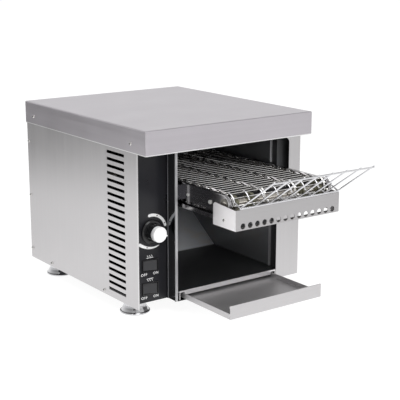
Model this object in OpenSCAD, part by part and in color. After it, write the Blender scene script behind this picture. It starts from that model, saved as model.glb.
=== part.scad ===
// Countertop conveyor toaster: a sheet-steel cabinet on four feet, a wire belt that runs
// out past the front, a wire feed rack, a toast slide and a pull-out tray.
// Millimetres. X = 0 is the middle of the cabinet, Z = 0 is the surface it stands on.
// Y is drawn from the cabinet's front plane and shifted at the end to centre the part.

/* [Cabinet] */
// Width over both side panels
cab_w = 365; // [355:1:390]
// Depth from the front frame to the outside of the back panel
cab_d = 402; // [396:1:440]
// Height of the side panels
cab_h = 319; // [315:1:340]
// Thickness of the sheet steel
sheet = 1.2; // [0.9:0.1:1.5]
// Width of the control bay, from the outside of the left panel to the divider
bay_w = 79.5; // [77:0.5:84]
// Depth of the control panel behind the front frame
recess = 28.5; // [25:0.5:34]
// Width of the flanges that the panels are joined by
flange = 12; // [10:0.5:14]

/* [Cover] */
// How far the cover reaches past the front frame
cover_front = 28; // [20:1:40]
// Height of the cover's skirt
cover_skirt = 43; // [38:1:47]
// Clearance between the skirt and the cabinet
cover_gap = 0.3; // [0.2:0.1:0.6]
// Depth of the hem along the skirt's front edge
cover_hem = 9; // [6:1:14]
// Outside radius of the cover's folds
fold_r = 2.2; // [1.8:0.1:3]

/* [Vents] */
// Number of slots in the left panel
vent_count = 21; // [16:1:21]
// Distance from one slot to the next
vent_pitch = 12.6; // [11.5:0.1:12.8]
// Length of a slot
vent_len = 57; // [45:1:66]
// Height of a slot
vent_h = 5.4; // [4:0.2:6.5]
// Distance of the slots behind the front edge
vent_y = 42; // [36:1:50]
// Height of the lowest slot above the bottom of the panel
vent_z = 15.5; // [13:0.5:20]

/* [Front opening] */
// Width of the right column beside the tray
column_low = 55; // [50:0.5:57]
// Width of the right column beside the belt
column_top = 27.5; // [22:0.5:32]
// Distance of the opening's top edge below the top of the panels
opening_drop = 48.5; // [46:0.5:52]
// Radius of the opening's top corner
corner_r = 10; // [6:0.5:16]
// Width of the folded hem on the divider's front edge
hem_w = 5; // [3:0.5:6]
// Width of the service bay, from the toasting chamber to the outside of the right panel
service_w = 45; // [43:0.5:47]
// Width of the flange on the front edge of the chamber's right wall
wall_flange = 5; // [3:0.5:6]
// Height of the toasting space, from the belt to the opening's top edge
bread_clear = 52; // [48:1:56]

/* [Conveyor] */
// Clearance between the divider's hem and the conveyor's guard
hem_gap = 4; // [3:0.5:6]
// Clearance between the conveyor's guard and the chamber's right wall
wall_gap = 3.5; // [3:0.5:6]
// Distance of the front shaft before the front frame
reach = 121; // [105:1:130]
// Diameter of the belt's wire
wire_d = 2; // [1.6:0.1:2.4]
// Distance from one belt wire to the next
belt_pitch = 13; // [12.6:0.1:13.2]
// Wires that the belt has between its two shafts
belt_spans = 31; // [29:1:31]
// Wires in one turn of a sprocket
belt_teeth = 8; // [8]
// Width of a link where one wire hooks round the next
link_w = 1.8; // [1.2:0.1:2]
// Clearance between a link and the wire inside it
link_gap = 0.3; // [0.25:0.05:0.4]
// Diameter of the two belt shafts
shaft_d = 12.7; // [11:0.1:14]
// Depth of a rail's flanges
rail_flange = 5; // [4:0.5:5.5]
// Height of the upturned edge on a rail's bottom flange
rail_lip = 7; // [6:0.5:9]
// Height of a rail below the shaft's middle
rail_drop = 27; // [24:0.5:32]
// Diameter of the bars that tie the rails together
tie_d = 8; // [7:0.5:9]

/* [Guard and rack] */
// Distance of the guard's front before the front shaft
guard_front = 37.5; // [34:0.5:44]
// Height of the guard
guard_h = 35; // [32:0.5:40]
// Depth of the guard's side plates
guard_side = 61; // [52:1:66]
// Rise of the side plates' top edge from front to back
guard_rise = 4; // [2:0.5:6]
// Radius of the side plates' top corner
guard_round = 6; // [4:0.5:8]
// Number of holes along the guard
guard_holes = 14; // [10:1:14]
// Diameter of those holes
guard_hole_d = 10; // [8:0.5:11]
// Distance from one hole to the next
guard_hole_pitch = 15.3; // [14:0.1:15.8]
// Diameter of the rack's wire
rack_wire = 3.2; // [2.6:0.1:4]
// Width that the guard has over the rack's outer wires
rack_margin = 10; // [8:1:30]
// Number of wires that the bread lies on
rack_rungs = 8; // [6:1:9]
// Reach of the rack before the guard
rack_reach = 84; // [60:1:92]
// Rise of the rack from its bottom bar to its top bar
rack_rise = 56; // [40:1:62]
// Length that the rack's wires stand past its top bar
rack_tail = 2; // [1:0.5:4]

/* [Chute and tray] */
// Height of the chute's floor above the bottom of the cabinet
chute_z = 16; // [15.4:0.1:19]
// Depth of the chute's level floor
chute_flat = 208; // [190:1:220]
// Slope of the toast slide
slide_angle = 35; // [30:1:38]
// Distance of the chamber's back wall before the back panel
back_gap = 10; // [8:0.5:14]
// Clearance between the divider's hem and the chute's front lip
lip_gap = 3.6; // [2:0.1:5]
// Distance of the tray's sides inside the lip's ends
tray_gap = 8.5; // [4:0.5:12]
// Length of the tray
tray_len = 300; // [270:1:330]
// Height of the tray's sides
tray_side = 10; // [8:0.5:10.4]
// Height of the tray's front wall
tray_front = 24; // [20:0.5:28]
// Depth of the hem along the front wall's top edge
tray_hem = 5; // [3:0.5:8]
// Distance that the tray stands out of the cabinet
tray_out = 135; // [100:1:150]
// Height of the beads that the tray slides on
bead_h = 2; // [1.5:0.1:2.4]

/* [Controls] */
// Distance of the knob right of the left panel's face
knob_x = 46.5; // [43:0.5:48]
// Height of the knob above the bottom of the cabinet
knob_z = 129; // [125:0.5:150]
// Diameter of the knob's skirt
knob_d = 44; // [38:1:46]
// Diameter of the knob's cap
grip_d = 28; // [24:1:32]
// Distance that the knob stands off the control panel
knob_h = 28; // [24:0.5:30]
// Height of the knob's cap
cap_h = 9.5; // [4:0.5:11]
// Turn of the knob's pointer at rest, clockwise from straight up
knob_turn = 105; // [0:1:180]
// Width of a switch's bezel
switch_w = 33.5; // [32:0.5:36]
// Height of a switch's bezel
switch_h = 23; // [21:0.5:25]
// Distance of the switches right of the left panel's face
switch_x = 42; // [40:0.5:45]
// Height of the lower switch above the bottom of the cabinet
switch_z = 25; // [20:0.5:28]
// Distance from the lower switch to the upper one
switch_pitch = 43; // [38:0.5:50]
// Tilt of a rocker either side of its middle
rock_tilt = 12; // [8:1:14]

/* [Heating elements] */
// Number of tubes above the belt
top_tubes = 4; // [3:1:4]
// Number of tubes between the belt's two runs
low_tubes = 3; // [2:1:3]
// Distance from one tube to the next
tube_pitch = 56; // [50:1:58]
// Diameter of a tube
tube_d = 10; // [8:0.5:11]
// Distance of the first top tube behind the front frame
tube_y = 62; // [52:1:64]

/* [Drive and cooling] */
// Pitch of the drive chain
chain_pitch = 6.35; // [6.35]
// Links in the drive chain
chain_links = 48; // [46:2:50]
// Teeth of the sprocket on the rear shaft
drive_teeth = 18; // [16:1:18]
// Teeth of the sprocket on the motor
motor_teeth = 12; // [10:1:12]
// Diameter of the motor
motor_d = 56; // [48:1:60]
// Width of the cooling fan
fan_w = 60; // [50:1:62]
// Depth of the cooling fan
fan_d = 20; // [18:1:25]
// Number of fan blades
fan_blades = 7; // [5:1:9]

/* [Feet] */
// Height of a foot
foot_h = 24.5; // [20:0.5:30]
// Diameter of a foot's flange
foot_d = 55; // [48:1:58]
// Distance of a foot from the side panel's face
foot_x = 31; // [28:1:34]
// Distance of the front feet behind the front frame
foot_y = 62; // [56:1:70]

/* [Screws] */
// Diameter of a screw's head
head_d = 6; // [5:0.5:7]
// Diameter of a screw's shank
screw_d = 3.5; // [3:0.5:4]

/* [Hidden] */
$fn = 48;
air = 0.3; // clearance between pieces that move past each other
fit = 0.05; // radial clearance of a running shaft
slip = 0.1; // radial clearance of a fixed pin in its hole

// Cabinet planes
left_x = -cab_w / 2;
right_x = cab_w / 2;
inner_l = left_x + sheet;
inner_r = right_x - sheet;
floor_z = foot_h + sheet;
top_z = foot_h + cab_h;
back_y = cab_d - sheet;
cover_x = cab_w / 2 + cover_gap + sheet;
cover_z = top_z + sheet - cover_skirt;
cover_back = cab_d + cover_gap + sheet;
div_x = left_x + bay_w;
wall_l = div_x + sheet;
wall_r = right_x - service_w;
chamber_w = wall_r - wall_l;
hem_l = div_x + sheet / 2 - hem_w / 2;
hem_r = hem_l + hem_w;
hem_d = 3;
open_z = top_z - opening_drop;
col_low_x = right_x - column_low;
col_top_x = right_x - column_top;
filler_in = 14; // depth of the filler's return
filler_y = recess - filler_in;

// Conveyor planes: the wires' centres lie on a circle about each shaft and on its tangents
guard_w = wall_r - wall_gap - hem_r - hem_gap;
conveyor_x = hem_r + hem_gap + guard_w / 2;
wire_r = wire_d / 2;
wrap_r = belt_pitch / (2 * sin(180 / belt_teeth));
belt_z = open_z - bread_clear - wire_r;
shaft_z = belt_z - wrap_r;
shaft_r = shaft_d / 2;
front_y = -reach;
rear_y = front_y + belt_spans * belt_pitch;
rail_x = guard_w / 2 - sheet;
web_t = 1.5;
web_x = rail_x - rail_flange;
rail_top = shaft_z + wrap_r + wire_r + 0.6;
rail_low = shaft_z - rail_drop;
nose_r = rail_top - shaft_z;
rail_front = front_y - nose_r;
link_r = wire_r + link_gap;
link_t = 1.5;
belt_half = web_x - web_t - 1;
link_x = [for (s = [-1, -1 / 3, 1 / 3, 1]) s * (belt_half - link_w * 1.6)];
wrap_wires = 2; // wires of each straight run that are made with the wrap
sprocket_r = wrap_r - wire_r - 0.6;
sprocket_w = 11;
hub_r = shaft_r + 4;
sprocket_x = [for (s = [-0.87, -0.53, 0.53, 0.87]) s * belt_half];
bush_r = shaft_r + 2.5;
step_z = rail_low - 13;
tie_z = shaft_z - 2.5;
front_tie_in = [40, 104]; // distances of the front ties behind the front shaft
front_ties = [for (d = front_tie_in) front_y + d];
tie_tail = 2; // radius of a front tie's ends, in the rails
tie_heads = [3.6, 2.7]; // radii of the rivet heads outside the rails
slot_pitch = 13;
slot_count = 7;
slot_size = [7, 3];
chamber_ties = [recess + 12, rear_y - 32];
strip_x = [-0.7, 0, 0.7] * belt_half;
strip_w = 3;
strip_foot = 6; // half the length of a strip's foot on a tie bar
rail_clear = 2; // clearance of the panels that the rails pass
bracket_w = 9.5;
bracket_at = [1, recess + 22, rear_y - 60]; // left, right and rear brackets

// Guard and rack planes
guard_x = guard_w / 2;
guard_y = front_y - guard_front;
guard_top = shaft_z - 1.5;
guard_low = guard_top - guard_h;
guard_flange = 14;
rack_w = guard_w - rack_margin;
rack_x = conveyor_x + 4;
rack_r = rack_wire / 2;
rack_low = [guard_y + sheet / 2, guard_top + rack_r + 0.1];
rack_tip = [guard_y - rack_reach, rack_low[1] + rack_rise];
rack_dir = (rack_tip - rack_low) / norm(rack_tip - rack_low);
rung_r = rack_r * 0.9;
hook_r = wrap_r + link_r + link_t + rung_r + 0.8;
hook_from = 102; // angles between which a rack wire curls round the belt's front wrap
hook_to = 158;

// Chute and tray planes
chute_floor = foot_h + chute_z;
chute_back = back_y - back_gap;
chute_knee = [chute_flat, chute_floor];
chute_top = [chute_back, chute_floor + (chute_back - chute_flat) * tan(slide_angle)];
tube_top_z = open_z + 3 + tube_d / 2;
roof_z = tube_top_z + tube_d / 2 + 5;
lip_edge = 1.5; // width of the lip's ends beside the tray's sides
lip_ends = [hem_r + lip_gap, col_low_x - 0.9];
lip_w = lip_ends[1] - lip_ends[0];
lip_x = (lip_ends[0] + lip_ends[1]) / 2;
tray_w = lip_w - 2 * tray_gap;
tray_z = floor_z + bead_h + air;
tray_y = -tray_out - air - sheet;
lip_low = tray_z + sheet + 5;

// Controls
panel_y = recess;
knob_c = [left_x + knob_x, foot_h + knob_z];
switches = [for (k = [0, 1]) [left_x + switch_x, foot_h + switch_z + k * switch_pitch]];
rocker_r = switch_w / 2 - 2.2;
rocker_h = switch_h - 5;
pivot_in = 4; // depth of a rocker's pivot behind the panel's face
pocket_d = 9;
pot_shaft_r = 3;
cap_z = knob_h - cap_h; // height of the cap's seat on the knob

// Elements
tubes_top = [for (k = [0:top_tubes - 1]) [tube_y + k * tube_pitch, tube_top_z]];
low_tube_z = shaft_z + 1;
tubes_low = [for (k = [0:low_tubes - 1]) [tube_y + (k + 0.5) * tube_pitch, low_tube_z]];
tubes = concat(tubes_top, tubes_low);
cap_r = tube_d / 2 + 2.5;
cap_len = 10;

// Drive
function pitch_radius(teeth) = chain_pitch / (2 * sin(180 / teeth));
big_r = pitch_radius(drive_teeth);
small_r = pitch_radius(motor_teeth);
free_links = chain_links - (drive_teeth + motor_teeth) / 2;
tooth_gap = (drive_teeth - motor_teeth) / (2 * PI);
centres = chain_pitch / 4 * (free_links + sqrt(pow(free_links, 2) - 8 * pow(tooth_gap, 2)));
motor_z = shaft_z - centres;
chain_x = div_x - 9;
roller_r = 1.6;
plate_gap = 2; // from the chain's middle plane to its inner plates
tooth_w = 2.6;
plate_t = 0.75;
out_r = 4; // radius of the motor's output shaft
bracket_x = chain_x - 9;
bracket_t = 2;
motor_face = bracket_x - bracket_t;
motor_len = motor_face - inner_l - 4;
shaft_in = 10; // length of the motor's shaft inside it
boss_r = 8; // radius of the motor's boss
motor_foot = 18; // width of the bracket's foot
motor_edge = 6; // width of the bracket beside the motor
fan_x = (inner_l + flange + div_x) / 2;
fan_up = 120; // height of the fan above the bottom of the cabinet
fan_z = foot_h + fan_up;
fan_r = fan_w / 2 - 2;
fan_hub = 14;
fan_post = 9; // length of the post that the rotor turns on
gland_z = foot_h + 32;
gland_out = 13;

// Screw places on each side panel and on the back panel
cover_screw_y = [18, cab_d - 32];
cover_screw_z = top_z - 26;
base_screw_y = [116, cab_d - 86];
base_screw_z = foot_h + 7;
back_screw_z = [foot_h + 18, foot_h + cab_h * 0.4, foot_h + cab_h * 0.745];
back_screw_in = 9; // distance of the back panel's screws from its edge
back_screw_x = right_x - back_screw_in;
guard_screw = [guard_y + guard_side / 2, rail_low + rail_lip / 2];
screw_r = screw_d / 2;

feet = [for (x = [left_x + foot_x, right_x - foot_x], y = [foot_y, cab_d - foot_y]) [x, y]];

// The part is centred on its whole depth, from the rack's tip to the cord gland
reach_front = rack_tip[0] + rack_tail * rack_dir[0] - rung_r * rack_dir[1];
reach_back = cab_d + gland_out;
middle_y = (reach_front + reach_back) / 2;

// ---- shared shapes ----

// Box between two values on each axis
module box(x, y, z) {
    translate([x[0], y[0], z[0]]) cube([x[1] - x[0], y[1] - y[0], z[1] - z[0]]);
}

// Plate of an outline drawn in X and Z, from y to y + t
module plate_xz(y, t = sheet) {
    translate([0, y + t, 0]) rotate([90, 0, 0]) linear_extrude(t) children();
}

// Plate of an outline drawn in Y and Z, from x to x + t
module plate_yz(x, t = sheet) {
    translate([x, 0, 0]) rotate([90, 0, 90]) linear_extrude(t) children();
}

// Rectangle between two corners
module rect(a, b) {
    translate(a) square([b[0] - a[0], b[1] - a[1]]);
}

// Rods along each axis
module rod_x(x0, x1, c, r) {
    translate([x0, c[0], c[1]]) rotate([0, 90, 0]) cylinder(h = x1 - x0, r = r);
}
module rod_y(y0, y1, c, r) {
    translate([c[0], y1, c[1]]) rotate([90, 0, 0]) cylinder(h = y1 - y0, r = r);
}
module rod_z(z0, z1, c, r) {
    translate([c[0], c[1], z0]) cylinder(h = z1 - z0, r = r);
}

// Outline of a sheet bent along a path: its middle line, moved half its thickness each way
function unit(v) = v / norm(v);
function normal(v) = [-v[1], v[0]];
function mitre(p, i, d) =
    let (last = len(p) - 1,
         a = normal(unit(p[max(i, 1)] - p[max(i, 1) - 1])),
         b = normal(unit(p[min(i, last - 1) + 1] - p[min(i, last - 1)])))
    p[i] + d * (a + b) / (1 + a * b);
module bent(p, t = sheet) {
    n = len(p) - 1;
    polygon(concat([for (i = [0:n]) mitre(p, i, t / 2)], [for (i = [0:n]) mitre(p, n - i, -t / 2)]));
}

// Pan-head screw: its head sits on z = 0 and its shank points down
module screw(len) {
    dome = head_d * 0.62;
    difference() {
        union() {
            intersection() {
                translate([0, 0, head_d * 0.36 - dome]) sphere(r = dome);
                cylinder(h = head_d, r = head_d / 2);
            }
            translate([0, 0, -len]) cylinder(h = len + 0.5, r = screw_r);
        }
        for (a = [0, 90]) rotate(a) translate([-head_d / 3, -0.4, head_d * 0.18])
            cube([head_d / 1.5, 0.8, head_d]);
    }
}

// ---- cabinet ----

// Lid shape: a box whose top edges are rounded along its front, back and sides
module round_topped(a, b, r) {
    rect(a, [b[0], b[1] - r]);
    rect([a[0] + r, a[1]], [b[0] - r, b[1]]);
    for (x = [a[0] + r, b[0] - r]) translate([x, b[1] - r]) circle(r = r);
}
module folded(x, y, z, r) {
    intersection() {
        plate_xz(y[0], y[1] - y[0]) round_topped([x[0], z[0]], [x[1], z[1]], r);
        plate_yz(x[0], x[1] - x[0]) round_topped([y[0], z[0]], [y[1], z[1]], r);
    }
}
// Room under the cover: its top edges follow the inside of the cover's folds
module under_cover() {
    folded([left_x, right_x], [-cover_front, cab_d], [foot_h, top_z], fold_r - sheet);
}
module top_cover() {
    slit = [0.3, cover_skirt * 0.55];
    inner_x = cover_x - sheet;
    color("gainsboro") {
        difference() {
            folded([-cover_x, cover_x], [-cover_front, cover_back], [cover_z, top_z + sheet], fold_r);
            folded([-inner_x, inner_x], [-cover_front + sheet, cover_back - sheet], [cover_z - 1, top_z],
                fold_r - sheet);
            for (s = [-1, 1]) {
                translate([s * (cover_x - sheet / 2), -cover_front + sheet, cover_z - 1])
                    box([-sheet, sheet], [-slit[0] / 2, slit[0] / 2], [0, slit[1]]);
                for (y = cover_screw_y)
                    rod_x(s * cover_x - 3, s * cover_x + 3, [y, cover_screw_z], screw_r + slip);
            }
        }
        box([-inner_x, inner_x], [-cover_front + sheet, -cover_front + cover_hem], [cover_z, cover_z + sheet]);
    }
}

// A side panel as drawn for the left; y0 is its front edge
module side_panel(y0, vents) {
    plate_yz(left_x) difference() {
        rect([y0, foot_h], [back_y, top_z]);
        if (vents) for (k = [0:vent_count - 1])
            translate([vent_y, foot_h + vent_z + k * vent_pitch - vent_h / 2])
                square([vent_len, vent_h]);
        for (y = cover_screw_y) translate([y, cover_screw_z]) circle(r = screw_r + slip);
        for (y = base_screw_y) translate([y, base_screw_z]) circle(r = screw_r + slip);
    }
    box([inner_l, inner_l + flange], [2 * sheet, back_y - sheet], [top_z - sheet, top_z]);
    difference() {
        box([inner_l, inner_l + flange], [back_y - sheet, back_y], [floor_z + 16, top_z]);
        for (z = back_screw_z) rod_y(back_y - 3, back_y + 1, [-back_screw_x, z], screw_r + slip);
    }
}
module left_side_panel() {
    color("silver") intersection() { side_panel(0, true); under_cover(); }
}
module right_side_panel() {
    color("silver") mirror([1, 0, 0]) intersection() { side_panel(sheet, false); under_cover(); }
}

module back_panel() {
    color("silver") intersection() { back_sheet(); under_cover(); }
}
module back_sheet() {
    plate_xz(back_y) difference() {
        rect([left_x, foot_h], [right_x, top_z]);
        for (s = [-1, 1], z = back_screw_z) translate([s * back_screw_x, z]) circle(r = screw_r + slip);
        translate([fan_x, gland_z]) circle(r = 8.2);
        intersection() {
            translate([fan_x, fan_z]) circle(r = fan_r);
            for (k = [-3:3]) translate([fan_x - fan_r, fan_z + k * 7.4 - 1.8]) square([2 * fan_r, 3.6]);
        }
        for (s = [-1, 1], t = [-1, 1])
            translate([fan_x + s * (fan_w / 2 - 4), fan_z + t * (fan_w / 2 - 4)]) circle(r = 2);
    }
}

module base_plate() {
    color("darkgray") {
        difference() {
            translate([0, 0, foot_h]) linear_extrude(sheet) polygon([
                [inner_l, recess + sheet], [hem_r, recess + sheet], [hem_r, 0], [col_low_x, 0],
                [col_low_x, sheet], [inner_r, sheet], [inner_r, back_y], [inner_l, back_y]]);
            for (f = feet) rod_z(foot_h - 1, foot_h + 3, f, 4 + slip);
        }
        for (s = [-1, 1]) {
            x0 = s < 0 ? inner_l : inner_r - sheet;
            y0 = s < 0 ? recess + sheet : filler_y + sheet;
            difference() {
                box([x0, x0 + sheet], [y0, back_y], [floor_z, floor_z + 14]);
                for (y = base_screw_y) rod_x(x0 - 1, x0 + 3, [y, base_screw_z], screw_r + slip);
            }
            translate([lip_x + s * (tray_w / 2 - 14) - 3, hem_d, floor_z])
                cube([6, tray_len - 20, bead_h]);
        }
    }
}

module front_frame() {
    color("gainsboro") plate_xz(0) difference() {
        round_topped([left_x, foot_h], [right_x, top_z], fold_r - sheet);
        rect([left_x - 1, foot_h - 1], [inner_l, top_z + 1]);
        rect([inner_l - 1, foot_h - 1], [hem_l, cover_z + 5]);
        rect([hem_l - 1, foot_h - 1], [col_low_x, step_z + 1]);
        difference() {
            rect([hem_l, step_z], [col_top_x, open_z]);
            translate([col_top_x - corner_r, open_z - corner_r]) difference() {
                square(corner_r + 1);
                circle(r = corner_r);
            }
        }
    }
}

module side_filler() {
    color("dimgray") {
        box([wall_r, inner_r], [filler_y, filler_y + sheet], [floor_z, top_z - sheet]);
        box([wall_r, wall_r + sheet], [filler_y, recess - 1], [floor_z, top_z - sheet]);
    }
}

module divider() {
    color("slategray") difference() {
        union() {
            plate_yz(div_x) union() {
                rect([sheet, floor_z], [back_y, top_z]);
                rect([sheet, foot_h], [recess + sheet, top_z]);
            }
            box([hem_l, hem_r], [0, hem_d], [foot_h, open_z]);
        }
        for (t = tubes) rod_x(div_x - 1, wall_l + 1, t, tube_d / 2 + slip);
        rod_x(div_x - 1, wall_l + 1, [rear_y, shaft_z], shaft_r + 2);
    }
}

module control_panel() {
    color([0.13, 0.14, 0.15]) {
        plate_xz(panel_y) difference() {
            rect([inner_l, foot_h], [div_x, top_z - sheet]);
            translate(knob_c) circle(r = 3.5 + slip);
            for (s = switches) translate(s) square([switch_w - 3 + 0.2, switch_h - 3 + 0.2], center = true);
        }
        box([div_x - sheet, div_x], [panel_y - 3, panel_y], [foot_h, top_z - sheet]);
    }
}

// Right wall, with a flange on its front edge that is cut out round the rail
module chamber_wall() {
    color("slategray") difference() {
        union() {
            box([wall_r, wall_r + sheet], [recess, chute_back + sheet / 2], [floor_z, roof_z + sheet]);
            for (z = [[chute_floor + sheet, rail_low - rail_clear], [rail_top + rail_clear, roof_z]])
                box([wall_r - wall_flange, wall_r], [recess, recess + 2], z);
        }
        for (t = tubes) rod_x(wall_r - 3, wall_r + 3, t, tube_d / 2 + slip);
    }
}

module chamber_roof() {
    color("slategray") box([wall_l, wall_r], [recess + 2, chute_back + sheet / 2], [roof_z, roof_z + sheet]);
}

// Level floor, toast slide and back wall: one sheet, bent twice
module chute() {
    color([0.2, 0.21, 0.23]) difference() {
        plate_yz(wall_l, chamber_w) bent([[sheet, chute_floor], chute_knee, chute_top, [chute_back, roof_z]]);
        box([wall_l - 1, hem_r + slip], [0, hem_d + slip], [chute_floor - sheet, chute_floor + sheet]);
    }
}

// Front lip: the tray's floor passes under it and the tray's sides through notches at its ends
module chute_lip() {
    half = lip_w / 2 - lip_edge;
    color("gainsboro") translate([lip_x, 0, 0]) plate_xz(0) difference() {
        rect([-lip_w / 2, floor_z], [lip_w / 2, chute_floor + 2]);
        rect([-half, floor_z - 1], [half, lip_low]);
        for (s = [0, 1]) mirror([s, 0])
            rect([tray_w / 2 - 2 * sheet, lip_low - 1], [half, tray_z + tray_side + 1.6]);
    }
}

// ---- conveyor ----

// Side view of a rail: straight between the shafts, with a nose round each of them
module rail_outline() {
    rect([front_y, rail_low], [rear_y, rail_top]);
    rect([rail_front, rail_low], [front_y, shaft_z]);
    for (y = [front_y, rear_y]) translate([y, shaft_z]) circle(r = nose_r);
}

// A rail as drawn for the left, in the conveyor's own frame
module rail() {
    plate_yz(-web_x, web_t) difference() {
        rail_outline();
        for (y = [front_y, rear_y]) translate([y, shaft_z]) circle(r = bush_r + slip);
        for (y = front_ties) translate([y, tie_z]) circle(r = tie_tail + slip);
        for (y = chamber_ties) translate([y, tie_z]) circle(r = tie_d / 2 + slip);
        for (t = tubes_low) translate(t) circle(r = tube_d / 2 + 0.6);
        for (k = [0:slot_count - 1]) translate([front_y + 39 + k * slot_pitch, rail_low + rail_lip + 2.8])
            square(slot_size);
    }
    plate_yz(-rail_x, rail_flange) rect([front_y, rail_top - web_t], [rear_y, rail_top]);
    plate_yz(-rail_x, rail_flange) for (y = [front_y, rear_y]) intersection() {
        translate([y, shaft_z]) difference() {
            circle(r = nose_r);
            circle(r = nose_r - web_t);
        }
        rect([y == front_y ? y - nose_r - 1 : y, shaft_z], [y == front_y ? y : y + nose_r + 1, rail_top + 1]);
    }
    plate_yz(-rail_x, rail_flange) rect([rail_front, rail_low], [rear_y, rail_low + web_t]);
    difference() {
        plate_yz(-rail_x, web_t) rect([rail_front, rail_low], [rear_y, rail_low + rail_lip]);
        rod_x(-rail_x - 1, -rail_x + 3, guard_screw, screw_r + slip);
    }
}
module left_rail() { color("lightgray") translate([conveyor_x, 0, 0]) rail(); }
module right_rail() { color("lightgray") translate([conveyor_x, 0, 0]) mirror([1, 0, 0]) rail(); }

// Channels between the rails and what carries them: the back on the rail, the edges on the wall
module rail_bracket(wall, web, y) {
    z = [rail_low + rail_lip + 6, rail_top - 6];
    back = web > wall ? web - web_t : web;
    box([back, back + web_t], [y, y + bracket_w], z);
    for (y0 = [y, y + bracket_w - web_t]) box([min(wall, web), max(wall, web)], [y0, y0 + web_t], z);
}
module rail_brackets() {
    color("silver") {
        rail_bracket(hem_r, conveyor_x - web_x, bracket_at[0]);
        rail_bracket(wall_r, conveyor_x + web_x, bracket_at[1]);
        for (s = [-1, 1]) rail_bracket(s < 0 ? wall_l : wall_r, conveyor_x + s * web_x, bracket_at[2]);
    }
}

module tie_bars() {
    in_x = web_x - web_t;
    color("silver") translate([conveyor_x, 0, 0]) for (k = [0, 1]) {
        c = [front_ties[k], tie_z];
        rod_x(-in_x, in_x, c, tie_d / 2);
        rod_x(-web_x - 1.6, web_x + 1.6, c, tie_tail);
        for (s = [-1, 1]) rod_x(s * (web_x + 0.8) - 0.8, s * (web_x + 0.8) + 0.8, c, tie_heads[k]);
    }
    color("silver") for (y = chamber_ties) rod_x(wall_l, wall_r, [y, tie_z], tie_d / 2);
}

// Strips that the upper run slides on: they pass over the tubes and stand on the tie bars
module belt_strips() {
    low = low_tube_z + tube_d / 2 + 1.5;
    foot_z = tie_z + tie_d / 2 - 1.5;
    ties = concat(front_ties, chamber_ties);
    color("darkgray") translate([conveyor_x, 0, 0]) difference() {
        for (x = strip_x) {
            box([x - strip_w / 2, x + strip_w / 2], [front_y + wrap_r + 4, rear_y - wrap_r - 4],
                [low, belt_z - wire_r - air]);
            for (y = ties)
                box([x - strip_w / 2, x + strip_w / 2], [y - strip_foot, y + strip_foot], [foot_z, low]);
        }
        for (y = ties) rod_x(-belt_half, belt_half, [y, tie_z], tie_d / 2 + slip);
    }
}

module conveyor_guard() {
    side = guard_y + guard_side;
    color("gainsboro") translate([conveyor_x, 0, 0]) {
        plate_xz(guard_y) difference() {
            rect([-guard_x, guard_low], [guard_x, guard_top]);
            for (k = [0:guard_holes - 1])
                translate([(k - (guard_holes - 1) / 2) * guard_hole_pitch, guard_low + 7])
                    circle(d = guard_hole_d);
        }
        for (s = [-1, 1]) plate_yz(s < 0 ? -guard_x : guard_x - sheet) difference() {
            union() {
                polygon([[guard_y + sheet, guard_low], [side, guard_low], [side, guard_top],
                    [side - guard_round, guard_top + guard_rise], [guard_y + sheet, guard_top]]);
                translate([side - guard_round, guard_top + guard_rise - guard_round]) circle(r = guard_round);
            }
            translate(guard_screw) circle(r = screw_r + slip);
        }
        box([-guard_x + sheet, guard_x - sheet], [guard_y + sheet, guard_y + guard_flange],
            [guard_low, guard_low + sheet]);
    }
}

// Wire frame that bread is laid on: its wires lie on two bars and curl over the belt's front
module wire_between(a, b, r) {
    d = b - a;
    translate(a) rotate([0, acos(d[2] / norm(d)), atan2(d[1], d[0])]) cylinder(h = norm(d), r = r, $fn = 24);
}
module rack_rung(x) {
    tip = rack_tip + rack_tail * rack_dir;
    bend = [front_y + hook_r * cos(hook_to), shaft_z + hook_r * sin(hook_to)];
    wire_between([x, tip[0], tip[1]], [x, rack_low[0], rack_low[1]], rung_r);
    wire_between([x, rack_low[0], rack_low[1]], [x, bend[0], bend[1]], rung_r);
    translate([x, front_y, shaft_z]) rotate([90, 0, 90]) rotate(hook_from)
        rotate_extrude(angle = hook_to - hook_from) translate([hook_r, 0]) circle(r = rung_r, $fn = 24);
}
module feed_rack() {
    pitch = (rack_w - rack_wire) / (rack_rungs - 1);
    color("whitesmoke") translate([rack_x, 0, 0]) {
        for (p = [rack_low, rack_tip]) rod_x(-rack_w / 2, rack_w / 2, p, rack_r);
        for (k = [0:rack_rungs - 1]) rack_rung(-rack_w / 2 + rack_r + k * pitch);
        for (s = [-1, 1]) rod_z(guard_top - 16, rack_low[1],
            [s * (rack_w / 2 - 14), guard_y + sheet + rack_r + 0.1], rung_r);
    }
}

// Place and direction of each belt wire: k counts from the top of the front sprocket
function wire_at(k) = k <= belt_spans
    ? [front_y + k * belt_pitch, belt_z]
    : k < belt_spans + belt_teeth / 2
        ? let (a = 90 - (k - belt_spans) * 360 / belt_teeth)
            [rear_y + wrap_r * cos(a), shaft_z + wrap_r * sin(a)]
        : k <= 2 * belt_spans + belt_teeth / 2
            ? [rear_y - (k - belt_spans - belt_teeth / 2) * belt_pitch, shaft_z - wrap_r]
            : let (a = 270 - (k - 2 * belt_spans - belt_teeth / 2) * 360 / belt_teeth)
                [front_y + wrap_r * cos(a), shaft_z + wrap_r * sin(a)];
wires = 2 * belt_spans + belt_teeth;

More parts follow.
